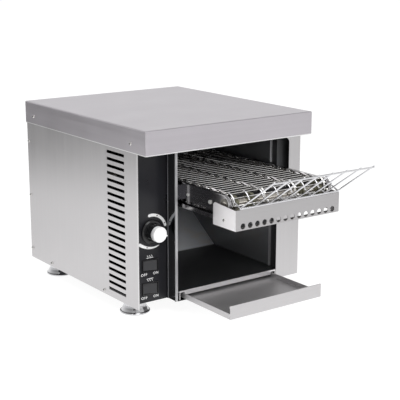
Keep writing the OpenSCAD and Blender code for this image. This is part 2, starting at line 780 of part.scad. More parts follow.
// One belt wire, with four links that hook round the next wire
module belt_wire(k) {
    a = wire_at(k);
    b = wire_at((k + 1) % wires);
    d = b - a;
    side = k % 2 == 0 ? -0.75 : 0.75;
    translate([conveyor_x, a[0], a[1]]) {
        rotate([0, 90, 0]) cylinder(h = 2 * belt_half, r = wire_r, center = true, $fn = 24);
        rotate([atan2(d[1], d[0]), 0, 0]) for (x = link_x)
            plate_yz(x + side * link_w - link_w / 2, link_w) belt_link(norm(d));
    }
}
module belt_link(pitch) {
    difference() {
        union() {
            rect([0, -link_t / 2], [pitch - link_r - link_t / 2, link_t / 2]);
            translate([pitch, 0]) circle(r = link_r + link_t, $fn = 32);
        }
        translate([pitch, 0]) circle(r = link_r, $fn = 32);
        translate([pitch, 0]) rotate(-135) rect([-0.2, 0], [1.6, link_r + link_t + 1]);
    }
}
module belt(from, to) {
    color("lightgray") for (k = [from:to]) belt_wire((k + wires) % wires);
}
half_turn = belt_teeth / 2;
module belt_top_run() { belt(wrap_wires, belt_spans - wrap_wires); }
module belt_rear_wrap() { belt(belt_spans - wrap_wires + 1, belt_spans + half_turn + wrap_wires - 1); }
module belt_bottom_run() {
    belt(belt_spans + half_turn + wrap_wires, 2 * belt_spans + half_turn - wrap_wires);
}
module belt_front_wrap() { belt(-half_turn - wrap_wires + 1, wrap_wires - 1); }

module belt_shaft(y, x0, x1) { color("lightgray") rod_x(x0, x1, [y, shaft_z], shaft_r); }
module front_shaft() { belt_shaft(front_y, conveyor_x - web_x - 1, conveyor_x + web_x + 1); }
module rear_shaft() { belt_shaft(rear_y, chain_x - 7, conveyor_x + web_x + 1); }

// Low-toothed belt sprockets, whose valleys face the wires
module sprockets(y) {
    color([0.35, 0.34, 0.27]) for (x = sprocket_x) translate([conveyor_x + x, y, shaft_z]) rotate([0, 90, 0])
        difference() {
            union() {
                cylinder(h = sprocket_w, r = hub_r, center = true);
                cylinder(h = sprocket_w - 4, r = sprocket_r, center = true);
            }
            cylinder(h = sprocket_w + 2, r = shaft_r + fit, center = true);
            for (k = [0:belt_teeth - 1]) rotate(k * 360 / belt_teeth)
                translate([wrap_r, 0, 0]) cylinder(h = sprocket_w, r = 3.6, center = true, $fn = 24);
        }
}
module front_sprockets() { sprockets(front_y); }
module rear_sprockets() { sprockets(rear_y); }

// Flanged bushes in the rails
module bushes(y) {
    c = [y, shaft_z];
    color("peru") translate([conveyor_x, 0, 0]) for (s = [0, 1]) mirror([s, 0, 0]) difference() {
        union() {
            rod_x(-web_x - 1.2, -web_x, c, bush_r + 2);
            rod_x(-web_x - 0.5, -web_x + web_t + 0.5, c, bush_r);
        }
        rod_x(-web_x - 5, -web_x + 5, c, shaft_r + fit);
    }
}
module front_bushes() { bushes(front_y); }
module rear_bushes() { bushes(rear_y); }

// ---- drive, in the control bay ----

// A chain sprocket about the X axis, with its teeth short of the chain's rollers
module chain_sprocket(teeth, bore_r, hub_len) {
    r = pitch_radius(teeth);
    rotate([0, 90, 0]) difference() {
        union() {
            cylinder(h = tooth_w, r = r - roller_r - 0.5, center = true);
            translate([0, 0, -hub_len]) cylinder(h = hub_len, r = bore_r + 3);
        }
        cylinder(h = 40, r = bore_r + fit, center = true);
        for (k = [0:teeth - 1]) rotate((k + 0.5) * 360 / teeth) translate([r - 0.2, 0, 0])
            cylinder(h = tooth_w + 1, r = roller_r + 0.9, center = true, $fn = 16);
    }
}
module drive_sprocket() {
    color("dimgray") translate([chain_x, rear_y, shaft_z]) chain_sprocket(drive_teeth, shaft_r, 5);
}
module motor_sprocket() {
    color("dimgray") translate([chain_x, rear_y, motor_z]) chain_sprocket(motor_teeth, out_r, 5);
}

// Chain path: half round each sprocket, widened or narrowed by the slope of its two runs
slope = asin((big_r - small_r) / centres);
run = centres * cos(slope);
top_arc = big_r * (180 + 2 * slope) * PI / 180;
low_arc = small_r * (180 - 2 * slope) * PI / 180;
link_len = (top_arc + low_arc + 2 * run) / chain_links;
function on_arc(c, r, a) = [c[0] + r * cos(a), c[1] + r * sin(a)];
function chain_at(s) =
    s < top_arc ? on_arc([rear_y, shaft_z], big_r, -slope + s / big_r * 180 / PI)
    : s < top_arc + run
        ? let (p = on_arc([rear_y, shaft_z], big_r, 180 + slope)) p + (s - top_arc) * [sin(slope), -cos(slope)]
    : s < top_arc + run + low_arc
        ? on_arc([rear_y, motor_z], small_r, 180 + slope + (s - top_arc - run) / small_r * 180 / PI)
    : let (p = on_arc([rear_y, motor_z], small_r, -slope))
        p + (s - top_arc - run - low_arc) * [sin(slope), cos(slope)];

module drive_chain() {
    h = 2.4;
    color("gray") for (k = [0:chain_links - 1]) {
        a = chain_at(k * link_len);
        b = chain_at(((k + 1) % chain_links) * link_len);
        d = b - a;
        x = plate_gap + (k % 2) * (plate_t + 0.15);
        translate([chain_x, a[0], a[1]]) {
            rod_x(-plate_gap - 2 * plate_t - 0.4, plate_gap + 2 * plate_t + 0.4, [0, 0], 0.9, $fn = 16);
            rod_x(-plate_gap + 0.1, plate_gap - 0.1, [0, 0], roller_r, $fn = 16);
            rotate([atan2(d[1], d[0]), 0, 0]) for (x0 = [-x - plate_t, x]) plate_yz(x0, plate_t)
                polygon([[-h, -1], [-1, -h], [norm(d) + 1, -h], [norm(d) + h, -1], [norm(d) + h, 1],
                    [norm(d) + 1, h], [-1, h], [-h, 1]]);
        }
    }
}

module gearmotor() {
    c = [rear_y, motor_z];
    gear_end = motor_face - motor_len * 0.45;
    color("darkslategray") difference() {
        union() {
            rod_x(gear_end, motor_face, c, motor_d / 2);
            rod_x(motor_face - motor_len, gear_end, c, motor_d / 2 - 3);
            rod_x(motor_face, bracket_x + 2, c, boss_r);
        }
        rod_x(motor_face - shaft_in - 2, bracket_x + 3, c, out_r + fit);
    }
}
module motor_shaft() { color("silver") rod_x(motor_face - shaft_in, chain_x + 4, [rear_y, motor_z], out_r); }
module motor_bracket() {
    w = motor_d / 2 + motor_edge;
    color("silver") {
        plate_yz(motor_face, bracket_t) difference() {
            rect([rear_y - w, floor_z], [rear_y + w, motor_z + w]);
            translate([rear_y, motor_z]) circle(r = boss_r + slip);
        }
        box([motor_face - motor_foot, motor_face], [rear_y - w, rear_y + w], [floor_z, floor_z + bracket_t]);
    }
}

module fan_frame() {
    color("dimgray") translate([fan_x, back_y, fan_z]) rotate([90, 0, 0]) difference() {
        union() {
            difference() {
                translate([-fan_w / 2, -fan_w / 2, 0]) cube([fan_w, fan_w, fan_d]);
                translate([0, 0, -1]) cylinder(h = fan_d + 2, r = fan_r);
            }
            for (a = [45, 135]) rotate(a) translate([-fan_w * 0.6, -2, 0]) cube([fan_w * 1.2, 4, 2]);
            cylinder(h = 3, r = fan_hub - 1);
            cylinder(h = fan_post, r = 3);
        }
        for (a = [45:90:315]) rotate(a) translate([fan_w * 1.14, 0, 0])
            cube([fan_w, fan_w, 3 * fan_d], center = true);
        for (s = [-1, 1], t = [-1, 1]) translate([s * (fan_w / 2 - 4), t * (fan_w / 2 - 4), -1])
            cylinder(h = fan_d + 2, r = 2);
    }
}
module fan_rotor() {
    color([0.15, 0.15, 0.16]) translate([fan_x, back_y, fan_z]) rotate([90, 0, 0]) difference() {
        union() {
            translate([0, 0, 4]) cylinder(h = fan_d - 6, r = fan_hub);
            intersection() {
                for (k = [0:fan_blades - 1]) rotate(k * 360 / fan_blades) translate([0, 0, fan_d / 2 + 1])
                    rotate([35, 0, 0]) translate([fan_hub - 2, -9, -0.8]) cube([fan_r, 18, 1.6]);
                translate([0, 0, 4]) cylinder(h = fan_d - 6, r = fan_r - 1);
            }
        }
        cylinder(h = fan_post + 0.5, r = 3 + fit);
    }
}

// ---- controls ----

module speed_control() {
    color("gray") difference() {
        union() {
            rod_y(panel_y + sheet, panel_y + sheet + 11, knob_c, 12);
            rod_y(panel_y - 3.5, panel_y + sheet + 1, knob_c, 3.5);
            translate([knob_c[0], panel_y, knob_c[1]]) rotate([90, 0, 0]) cylinder(h = 2, r = 6, $fn = 6);
        }
        rod_y(panel_y - 5, panel_y + 8, knob_c, pot_shaft_r + fit);
    }
}
module knob_shaft() { color("silver") rod_y(panel_y - cap_z + 4, panel_y + 7.5, knob_c, pot_shaft_r); }

// The knob's own axis points out of the panel
module on_knob() {
    translate([knob_c[0], panel_y, knob_c[1]]) rotate([90, 0, 0]) rotate(-knob_turn) children();
}
module knob_body() {
    foot = 1;
    rim = 5;
    flare = 3;
    color([0.1, 0.1, 0.11]) on_knob() difference() {
        union() {
            rotate_extrude($fn = 72) polygon([[0, foot], [knob_d / 2, foot], [knob_d / 2, foot + 2],
                [knob_d / 2 - 2.5, rim], [grip_d / 2 + flare, rim], [grip_d / 2 - 0.5, cap_z], [0, cap_z]]);
            translate([-1.5, grip_d / 2 - 3, rim - 1]) cube([3, 5, cap_z - rim + 1]);
        }
        translate([0, 0, -1]) cylinder(h = 6, r = 7.2);
        cylinder(h = cap_z - 3, r = pot_shaft_r + fit);
        for (a = [30:30:330]) rotate(a) translate([0, grip_d / 2 + flare + 1, rim + 1])
            rotate([atan(flare / (cap_z - rim)), 0, 0]) cylinder(h = knob_h, r = 3, $fn = 24);
    }
}
module knob_cap() {
    r = grip_d / 2;
    edge = 1;
    color("white") on_knob() translate([0, 0, cap_z]) {
        rotate_extrude($fn = 72) polygon([[0, 0], [r, 0], [r, cap_h - edge], [r - edge, cap_h], [0, cap_h]]);
        translate([-1.5, grip_d / 2 - 1, 0]) cube([3, 3, cap_h - edge]);
    }
}

// Bezel and case of a rocker switch; its own frame has y = 0 on the panel's face
module switch_case(c) {
    color([0.12, 0.12, 0.13]) translate([c[0], panel_y, c[1]]) difference() {
        union() {
            box([-switch_w / 2, switch_w / 2], [-2, 0], [-switch_h / 2, switch_h / 2]);
            box([-switch_w / 2 + 1.5, switch_w / 2 - 1.5], [0, 24], [-switch_h / 2 + 1.5, switch_h / 2 - 1.5]);
        }
        box([-rocker_r - air, rocker_r + air], [-3, pocket_d], [-rocker_h / 2 - air, rocker_h / 2 + air]);
        rod_z(-rocker_h / 2 - 1.5, rocker_h / 2 + 1.5, [0, pivot_in], 1.5 + fit);
    }
    color("goldenrod") translate([c[0], panel_y, c[1]]) for (x = [-9, 0, 9])
        box([x - 2.4, x + 2.4], [24, 31], [-0.4, 0.4]);
}
module lower_switch_case() { switch_case(switches[0]); }
module upper_switch_case() { switch_case(switches[1]); }

// Rocker, drawn at OFF with its left end pressed in
module rocker(c) {
    proud = 3.2;
    color([0.3, 0.3, 0.32]) translate([c[0], panel_y + pivot_in, c[1]]) rotate(-rock_tilt) {
        translate([0, 0, -rocker_h / 2]) linear_extrude(rocker_h) intersection() {
            circle(r = rocker_r);
            polygon([[-20, -pivot_in - proud], [0, -pivot_in - proud + 2], [20, -pivot_in - proud],
                [20, 0], [4, 2.6], [-4, 2.6], [-20, 0]]);
        }
        translate([0, 0, -rocker_h / 2 - 1.2]) cylinder(h = rocker_h + 2.4, r = 1.5);
    }
}
module lower_rocker() { rocker(switches[0]); }
module upper_rocker() { rocker(switches[1]); }

// ---- tray ----

module crumb_tray() {
    x = [lip_x - tray_w / 2, lip_x + tray_w / 2];
    y = [tray_y, tray_y + tray_len];
    color("gainsboro") {
        box(x, y, [tray_z, tray_z + sheet]);
        box(x, [y[0], y[0] + sheet], [tray_z, tray_z + tray_front]);
        box(x, [y[1] - sheet, y[1]], [tray_z, tray_z + tray_side]);
        for (s = [0, 1]) {
            x0 = s == 0 ? x[0] : x[1] - sheet;
            box([x0, x0 + sheet], y, [tray_z, tray_z + tray_side]);
        }
        box(x, [y[0], y[0] + 2 * sheet], [tray_z + tray_front - tray_hem, tray_z + tray_front]);
    }
}

// ---- heating elements ----

module heater(t) { rod_x(div_x - cap_len * 0.6, wall_r + sheet + cap_len * 0.6, t, tube_d / 2); }
module top_elements() { color("lightgoldenrodyellow") for (t = tubes_top) heater(t); }
module low_elements() { color("lightgoldenrodyellow") for (t = tubes_low) heater(t); }
module element_caps() {
    color("linen") for (t = tubes) {
        difference() {
            rod_x(div_x - cap_len, div_x, t, cap_r);
            rod_x(div_x - cap_len * 0.6 - slip, div_x + 1, t, tube_d / 2 + slip);
        }
        difference() {
            rod_x(wall_r + sheet, wall_r + sheet + cap_len, t, cap_r);
            rod_x(wall_r, wall_r + sheet + cap_len * 0.6 + slip, t, tube_d / 2 + slip);
        }
    }
}

// ---- supply ----

module cord_gland() {
    c = [fan_x, gland_z];
    color([0.1, 0.1, 0.1]) difference() {
        union() {
            rod_y(back_y - 8, cab_d + 3, c, 8);
            rod_y(cab_d, cab_d + 4, c, 11.5);
            translate([c[0], cab_d + 4, c[1]]) rotate([-90, 0, 0])
                cylinder(h = gland_out - 4, r1 = 9, r2 = 6.5);
            translate([c[0], back_y, c[1]]) rotate([90, 0, 0]) cylinder(h = 5, r = 11, $fn = 6);
        }
        rod_y(back_y - 10, cab_d + gland_out + 1, c, 4.2);
    }
}
module terminal_block() {
    x0 = inner_l + 14;
    color("linen") difference() {
        box([x0, x0 + 42], [back_y - 45, back_y - 27], [floor_z, floor_z + 17]);
        for (k = [0:2]) rod_z(floor_z + 9, floor_z + 18, [x0 + 8 + k * 13, back_y - 36], 2.6);
    }
}

// ---- feet and screws ----

module foot(c) {
    r = foot_d / 2;
    color("lightgray") translate([c[0], c[1], 0]) {
        rotate_extrude($fn = 72) polygon([[0, 0], [r - 1.2, 0], [r, 1.2], [r, 2.6], [r - 1, 3.8], [r - 2.2, 4],
            [r - 3, 5.4], [r - 4.2, 8], [r - 6, 11], [r - 7.3, 15], [r - 7.6, foot_h - 1], [r - 8.2, foot_h],
            [0, foot_h]]);
        translate([0, 0, foot_h - 1]) cylinder(h = sheet + 7, r = 4);
        translate([0, 0, floor_z]) cylinder(h = 5, r = 7.5, $fn = 6);
    }
}
module front_left_foot() { foot(feet[0]); }
module rear_left_foot() { foot(feet[1]); }
module front_right_foot() { foot(feet[2]); }
module rear_right_foot() { foot(feet[3]); }

module side_screw(s, x, y, z, len) {
    color("silver") translate([s * x, y, z]) rotate([0, s * 90, 0]) screw(len);
}
module cover_screws() {
    for (s = [-1, 1], y = cover_screw_y) side_screw(s, cover_x, y, cover_screw_z, 6);
}
module cabinet_screws() {
    for (s = [-1, 1], y = base_screw_y) side_screw(s, cab_w / 2, y, base_screw_z, 6);
    translate([conveyor_x, 0, 0]) for (s = [-1, 1])
        side_screw(s, guard_x, guard_screw[0], guard_screw[1], 3.5);
}
module back_screws() {
    color("silver") for (s = [-1, 1], z = back_screw_z)
        translate([s * back_screw_x, cab_d, z]) rotate([-90, 0, 0]) screw(6);
}

module placed() { translate([0, -middle_y, 0]) children(); }

placed() top_cover();
placed() left_side_panel();
placed() right_side_panel();
placed() back_panel();
placed() base_plate();
placed() front_frame();
placed() side_filler();
placed() divider();
placed() control_panel();
placed() chamber_wall();
placed() chamber_roof();
placed() chute();
placed() chute_lip();
placed() left_rail();
placed() right_rail();
placed() rail_brackets();
placed() tie_bars();
placed() belt_strips();
placed() conveyor_guard();
placed() feed_rack();
placed() belt_top_run();
placed() belt_bottom_run();
placed() belt_front_wrap();
placed() belt_rear_wrap();
placed() front_shaft();
placed() front_sprockets();
placed() rear_shaft();
placed() rear_sprockets();
placed() front_bushes();
placed() rear_bushes();
placed() drive_sprocket();
placed() drive_chain();
placed() gearmotor();
placed() motor_shaft();
placed() motor_sprocket();
placed() motor_bracket();
placed() fan_frame();
placed() fan_rotor();
placed() speed_control();
placed() knob_shaft();
placed() knob_body();
placed() knob_cap();
placed() lower_switch_case();
placed() upper_switch_case();
placed() lower_rocker();
placed() upper_rocker();
placed() crumb_tray();
placed() top_elements();
placed() low_elements();
placed() element_caps();
placed() cord_gland();
placed() terminal_block();
placed() front_left_foot();
placed() rear_left_foot();
placed() front_right_foot();
placed() rear_right_foot();
placed() cover_screws();
placed() cabinet_screws();
placed() back_screws();
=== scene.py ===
"""Finishes, bent wires and panel print for a countertop conveyor toaster."""

import math

import bmesh
import bpy
from bpy.props import FloatProperty, FloatVectorProperty, IntProperty, PointerProperty
from mathutils import Matrix, Vector


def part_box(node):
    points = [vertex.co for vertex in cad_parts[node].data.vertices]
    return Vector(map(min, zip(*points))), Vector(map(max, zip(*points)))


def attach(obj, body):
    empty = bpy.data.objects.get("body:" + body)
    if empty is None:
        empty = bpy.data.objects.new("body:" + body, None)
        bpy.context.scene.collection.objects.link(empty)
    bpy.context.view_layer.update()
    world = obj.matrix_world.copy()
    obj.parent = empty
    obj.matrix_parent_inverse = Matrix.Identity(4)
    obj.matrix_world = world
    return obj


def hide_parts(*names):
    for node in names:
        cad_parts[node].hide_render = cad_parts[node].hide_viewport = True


bl_info = {
    "name": "Conveyor Toaster Dressing",
    "version": (1, 0, 0),
    "blender": (4, 5, 0),
    "location": "3D View > Sidebar > Toaster",
    "description": "Dresses the model of a conveyor toaster and sets its studio",
    "category": "Object",
}

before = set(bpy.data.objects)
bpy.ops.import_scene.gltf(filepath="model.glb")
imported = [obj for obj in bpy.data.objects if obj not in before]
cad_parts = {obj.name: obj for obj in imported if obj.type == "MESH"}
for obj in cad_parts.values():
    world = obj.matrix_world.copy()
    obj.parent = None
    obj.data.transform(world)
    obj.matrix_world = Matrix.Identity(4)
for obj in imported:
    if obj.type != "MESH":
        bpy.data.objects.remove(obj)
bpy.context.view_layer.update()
ROOT = "cabinet"
MM = 0.001
TURN = 2 * math.pi
ACROSS, BACK, UP = Vector((1, 0, 0)), Vector((0, 1, 0)), Vector((0, 0, 1))
HALF_SHEET = 0.6 * MM  # half the thickness of the sheets

# Mesh work
SHARP = math.radians(33)  # steeper edges are rounded and stay crisp, flatter ones are smoothed over
FLAT = math.radians(0.3)  # flatter edges inside a face are dissolved
STRAIGHT = math.radians(89)  # half the angle at a corner so flat that a path leaves it out
SAME_PLACE = 0.002 * MM  # points closer than this are one point
NO_STEP = 0.001 * MM  # points of a path that are closer than this are one point
DOME_ANGLES = (math.radians(70), math.radians(35))  # rings of a wire's domed end, the outer one first
DOME_RISE = 0.6  # height of the dome as a share of the wire's radius

# Belt: spans of a straight run, teeth of a sprocket, the wires of each node, and the hooks of a wire
BELT_SPANS = 31
BELT_TEETH = 8
BELT_SECTIONS = {
    "belt_top_run": (2, 29),
    "belt_rear_wrap": (30, 36),
    "belt_bottom_run": (37, 64),
    "belt_front_wrap": (65, 71),
}
HOOK_PLACES = (-1, -1 / 3, 1 / 3, 1)  # as shares of the way from the middle to the outermost hook
HOOK_END = math.radians(-60)  # where a hook ends its way round the next wire
HOOK_STEPS = 6
WIRE_END = 0.2 * MM  # straight end of a wire beyond its outermost hook

# Feed rack: its play on the guard, its pins behind the guard, and the curl of its wires
SEAT = 0.1 * MM
RACK_PIN = 16 * MM
PIN_INSET = 14 * MM
PIN_START = 0.6 * MM
BAR_END = 0.3  # inset of a cross bar's ends as a share of its diameter
PIN_BEND = 2 * MM
CURL = (math.radians(158), math.radians(102))
CURL_STEPS = 10
RUNG_SIDES = 14
BAR_SIDES = 16
WELD_SHAPE = (1.25, 0.9, 0.9, 1)

# Screws at the rear edges: heights, distance from the back, domed heads; painted shade of the cross
# recesses
EDGE_SCREWS = (44.3 * MM, 155.4 * MM, 264.7 * MM)
EDGE_SCREW_IN = 4 * MM
HEAD_RADIUS = 3.3 * MM
HEAD_RISE = 2.1 * MM
HEAD_TOP = math.radians(80)
HEAD_SIDES = 20
HEAD_STEPS = 5
RECESS_TURN = 0.3
RECESS_REACH = 0.62 * HEAD_RADIUS
RECESS_STROKE = 0.9 * MM
RECESS_DEPTH = 0.05 * MM

# Quartz tubes and the coils in them
TUBE_WALL = 1.2 * MM
TUBE_SIDES = 24
COIL_SHARE = 0.55  # radius of the coil as a share of the tube's
COIL_WIRE = 0.35 * MM
COIL_PITCH = 3 * MM
COIL_INSET = 16 * MM
COIL_TAIL = 4 * MM
COIL_STEPS = 10

# How far painted highlights, the slide's painted shade and rivet heads reach from the folds, cuts and rails
WALL_FLANGE = 0.2 * MM
HEM_DEPTH = 1.6 * MM
FOLD_LINE = 1.1 * MM
FILLER_EDGE = 1 * MM
EDGE_BAND = 1.6 * MM
KNEE_RISE = 3 * MM
SLIDE_FADE = 140 * MM
RIVET_REACH = 7 * MM

# Panel print: arcs and marks of the dial ring in degrees from the top, words and heater signs
BEZEL_PROUD = 2 * MM
UPPER_ARC = (-15, 80)
LOWER_ARC = (150, 234)
ARC_STEPS = 32
SWELL = 1.1  # widest part of the swelling band as a share of the ring's band
SWELL_OUT = 0.35  # how far its outer edge starts past the ring's middle line, as such a share
MARKS = (23, 66, 200)
WORDS = (("off", "OFF", 0.13), ("on", "ON", 0.87))  # each with its place across the switch
WORD_DROP = 2.6 * MM
CAPITAL = 0.7  # height of a capital letter as a share of the type's size
BOLDER = 0.015  # how far a letter's outline is moved out, as a share of its height
SIGN_GAP = 2.2 * MM
SIGN_BAR = 14 * MM
SIGN_STROKE = 0.9 * MM
BAR_TO_WAVES = 1.4 * MM
WAVES_TO_BAR = 4.6 * MM
WAVE_STEPS = 12
WAVE_SHIFTS = (-4.5 * MM, 0, 4.5 * MM)
WAVE_STROKE = 0.75 * MM
WAVE_RISE = 3.4 * MM
WAVE_SWAY = 0.8 * MM

# Each softbox: its name, place, width, the setting with its power, and whether metal shows it
SOFTBOXES = (
    ("key_light", (-0.5, -0.9, 2.2), 1.9, "key", True),
    ("left_light", (-2.2, 0.1, 1.1), 1.4, "fill", False),
    ("front_light", (0.6, -2.4, 1.2), 1.4, "front", False),
    ("rear_light", (0.9, 2.3, 1.6), 1.4, "fill", False),
)
MODEL_MIDDLE = Vector((0, 0, 0.15))
FLOOR_REACH = 12.0
CAMERA_PLACE = (-1.1044, -1.5216, 0.6442)
CAMERA_SHIFT = (0.016, -0.013)
FILM_WIDTH = 36


# ---- sizes and colours ----


def size(name, description, default):
    """A length that the panel shows."""
    return FloatProperty(
        name=name, description=description, default=default, min=0.0, max=1.0, unit="LENGTH", precision=5
    )


def tint(name, description, default):
    """A colour that the panel shows."""
    return FloatVectorProperty(
        name=name, description=description, default=default, size=3, subtype="COLOR", min=0.0, max=1.0
    )


def angle(name, description, degrees):
    """An angle that the panel shows."""
    return FloatProperty(name=name, description=description, default=math.radians(degrees), subtype="ANGLE")


def power(name, description, default):
    """The power of a lamp that the panel shows."""
    return FloatProperty(name=name, description=description, default=default, unit="POWER")


class SheetMetalSettings(bpy.types.PropertyGroup):
    """Brushed and darkened sheet steel."""

    steel: tint("Steel", "Colour of the brushed stainless sheet", (0.6, 0.588, 0.595))
    roughness: FloatProperty(
        name="Roughness", description="Roughness of the brushed sheet", default=0.34, min=0.0, max=1.0
    )
    grain: size("Grain", "Distance between the broad streaks of the brushing", 6 * MM)
    liner: tint("Liner", "Colour of the chamber steel", (0.42, 0.43, 0.45))
    enamel: tint("Enamel", "Colour of the control panel", (0.009, 0.009, 0.012))
    edge: size("Edge", "Rounding of the sheet's edges", 0.2 * MM)


class BeltSettings(bpy.types.PropertyGroup):
    """The wire belt."""

    wire: size("Wire", "Diameter of a belt wire", 2 * MM)
    play: size("Play", "Clearance of a hook round the next wire", 0.12 * MM)
    hook: size("Hook", "Distance between the two legs of a hook", 2.04 * MM)
    offset: size("Offset", "Distance that hooks of every other wire stand aside", 2.3 * MM)
    bend: size("Bend", "Radius of the bends beside a hook", 0.8 * MM)
    sides: IntProperty(name="Sides", description="Faces round a wire", default=10, min=6, max=24)
    colour: tint("Colour", "Colour of the belt's wire", (0.95, 0.94, 0.92))
    # painted shade: the wire has one colour; its underside is painted this darker one
    underside_shade: tint("Baked", "Colour of the belt's wire on its underside", (0.12, 0.11, 0.1))


class RackSettings(bpy.types.PropertyGroup):
    """The wire feed rack."""

    bar: size("Bar", "Diameter of the two cross bars", 3.2 * MM)
    rung: size("Rung", "Diameter of the wires that the bread lies on", 2.88 * MM)
    rungs: IntProperty(name="Rungs", description="Number of those wires", default=8, min=2, max=12)
    tail: size("Tail", "Length of the wires past the top bar", 2 * MM)
    bend: size("Bend", "Radius of the bend above the bottom bar", 7 * MM)
    weld: size("Weld", "Radius of a weld bead", 1.7 * MM)
    lie: size("Lie", "Height of the wires' middle above the bars' middle", 1.2 * MM)
    curl: size("Curl", "Distance of the curled wires from the middle of the front shaft", 22 * MM)
    colour: tint("Colour", "Colour of the chrome plate", (0.8, 0.8, 0.82))


class PrintSettings(bpy.types.PropertyGroup):
    """White print on the control panel."""

    ring: size("Ring", "Radius of the dial ring's middle line", 29.7 * MM)
    band: size("Band", "Width of the dial ring", 5.2 * MM)
    flare: size("Flare", "Distance that the lower band runs out of the ring", 4.5 * MM)
    dot: size("Dot", "Radius of the marks on the ring", 1.2 * MM)
    letters: size("Letters", "Height of the letters under a switch", 4.6 * MM)
    ink: size("Ink", "Thickness of the print", 0.06 * MM)
    white: tint("White", "Colour of the print", (0.92, 0.92, 0.92))


class StageSettings(bpy.types.PropertyGroup):
    """Floor, lamps and camera."""

    floor: tint("Floor", "Colour of the floor", (0.86, 0.86, 0.86))
    lens: FloatProperty(name="Lens", description="Focal length in millimetres", default=93.2, min=20.0)
    azimuth: angle("Azimuth", "Turn of the view to the right", 35.87)
    drop: angle("Drop", "Downward tilt of the view", 13.59)
    key: power("Key", "Power of the top softbox", 34.0)
    fill: power("Fill", "Power of the side softboxes", 16.0)
    front: power("Front", "Power of the front softbox", 36.0)


SETTINGS = {
    "toaster_sheet": SheetMetalSettings,
    "toaster_belt": BeltSettings,
    "toaster_rack": RackSettings,
    "toaster_print": PrintSettings,
    "toaster_stage": StageSettings,
}


# ---- finishes ----


class Signal:
    """A value on its way through a tree of nodes: arithmetic on it adds Math nodes."""

    def __init__(self, nodes, socket):
        self.nodes = nodes
        self.socket = socket

    def math(self, operation, *others):
        return self.nodes.node("ShaderNodeMath", {"operation": operation}, dict(enumerate((self, *others))))

    def __add__(self, other):
        return self.math("ADD", other)

    __radd__ = __add__

    def __mul__(self, other):
        return self.math("MULTIPLY", other)

    __rmul__ = __mul__

    def __sub__(self, other):
        return self.math("SUBTRACT", other)

    def __rsub__(self, other):
        return self * -1 + other

    def __gt__(self, other):
        return self.math("GREATER_THAN", other)

    def __abs__(self):
        return self.math("ABSOLUTE")

    def between(self, low, high):
        """0 at low and below, 1 at high and above, smooth in between."""
        inputs = {"Value": self, "From Min": low, "From Max": high}
        return self.nodes.node("ShaderNodeMapRange", {"interpolation_type": "SMOOTHSTEP"}, inputs, "Result")


class Nodes:
    """The nodes of a material, of the world or of a modifier."""

    def __init__(self, tree):
        self.tree = tree

    def node(self, kind, settings=None, inputs=None, out=0):
        """Adds a node, sets what it does, feeds its sockets and returns one of its outputs."""
        made = self.tree.nodes.new(kind)
        for word, value in (settings or {}).items():
            setattr(made, word, value)
        for word, value in (inputs or {}).items():
            self.feed(made.inputs[word], value)
        return Signal(self, made.outputs[out])

    def feed(self, socket, value):
        if isinstance(value, Signal):
            self.tree.links.new(value.socket, socket)
        elif socket.type == "RGBA" and len(value) == 3:
            socket.default_value = (*value, 1.0)
        else:
            socket.default_value = value

    def vector(self, operation, a, b, out="Vector"):
        return self.node("ShaderNodeVectorMath", {"operation": operation}, {0: a, 1: b}, out)

    def place(self, what="Object"):
        return self.node("ShaderNodeTexCoord", out=what)

    def axis(self, name, what="Object"):
        """The place along one axis, or the direction's share along it."""
        return self.node("ShaderNodeSeparateXYZ", {}, {0: self.place(what)}, name)

    def ray(self, *kinds):
        """1 for rays of these kinds and 0 for all others."""
        signals = [self.node("ShaderNodeLightPath", out=f"Is {kind} Ray") for kind in kinds]
        return sum(signals[1:], signals[0])

    def noise(self, pitch, detail=4.0, rough=0.55):
        """Cloudy value from 0 to 1; pitch is the size of its clouds along X, Y and Z, in metres."""
        pitch = (pitch,) * 3 if isinstance(pitch, float) else pitch
        scaled = self.vector("DIVIDE", self.place(), pitch)
        inputs = {"Vector": scaled, "Scale": 1.0, "Detail": detail, "Roughness": rough}
        return self.node("ShaderNodeTexNoise", {}, inputs, "Fac")

    def cells(self, pitch):
        """Value from 0 to 1 that is the same all over each cell of a crazed pattern."""
        inputs = {"Vector": self.vector("DIVIDE", self.place(), (pitch,) * 3), "Scale": 1.0}
        colour = self.node("ShaderNodeTexVoronoi", {}, inputs, "Color")
        return self.node("ShaderNodeSeparateColor", {}, {"Color": colour})

    def mix(self, share_of_b, a, b):
        """Colour a where the share is 0 and colour b where it is 1."""
        return self.node("ShaderNodeMix", {"data_type": "RGBA"}, {0: share_of_b, 6: a, 7: b}, 2)

    def shades(self, light, colour, low, high):
        """One colour, from its darker shade where light is 0 to its paler shade where it is 1."""
        return self.mix(light, shade(colour, low), shade(colour, high))


class Finish(Nodes):
    """A material with one Principled shader; constants go straight to the shader's own sockets."""

    def __init__(self, name="finish", **constants):
        self.material = bpy.data.materials.new(name)
        self.material.use_nodes = True
        super().__init__(self.material.node_tree)
        self.shader = self.tree.nodes["Principled BSDF"]
        for word, value in constants.items():
            self.set(word.replace("_", " ").title().replace("Ior", "IOR"), value)

    def set(self, word, value):
        self.feed(self.shader.inputs[word], value)

    def coat(self, colour, roughness, height=None, depth=0.0, strength=0.3):
        """Gives the surface its colour, its roughness and fine bumps of some depth."""
        self.set("Base Color", colour)
        self.set("Roughness", roughness)
        if height:
            inputs = {"Height": height, "Distance": depth, "Strength": strength}
            self.set("Normal", self.node("ShaderNodeBump", {}, inputs, "Normal"))
        return self


def shade(colour, factor):
    """The colour made lighter or darker by a factor."""
    return tuple(min(1.0, c * factor) for c in colour)


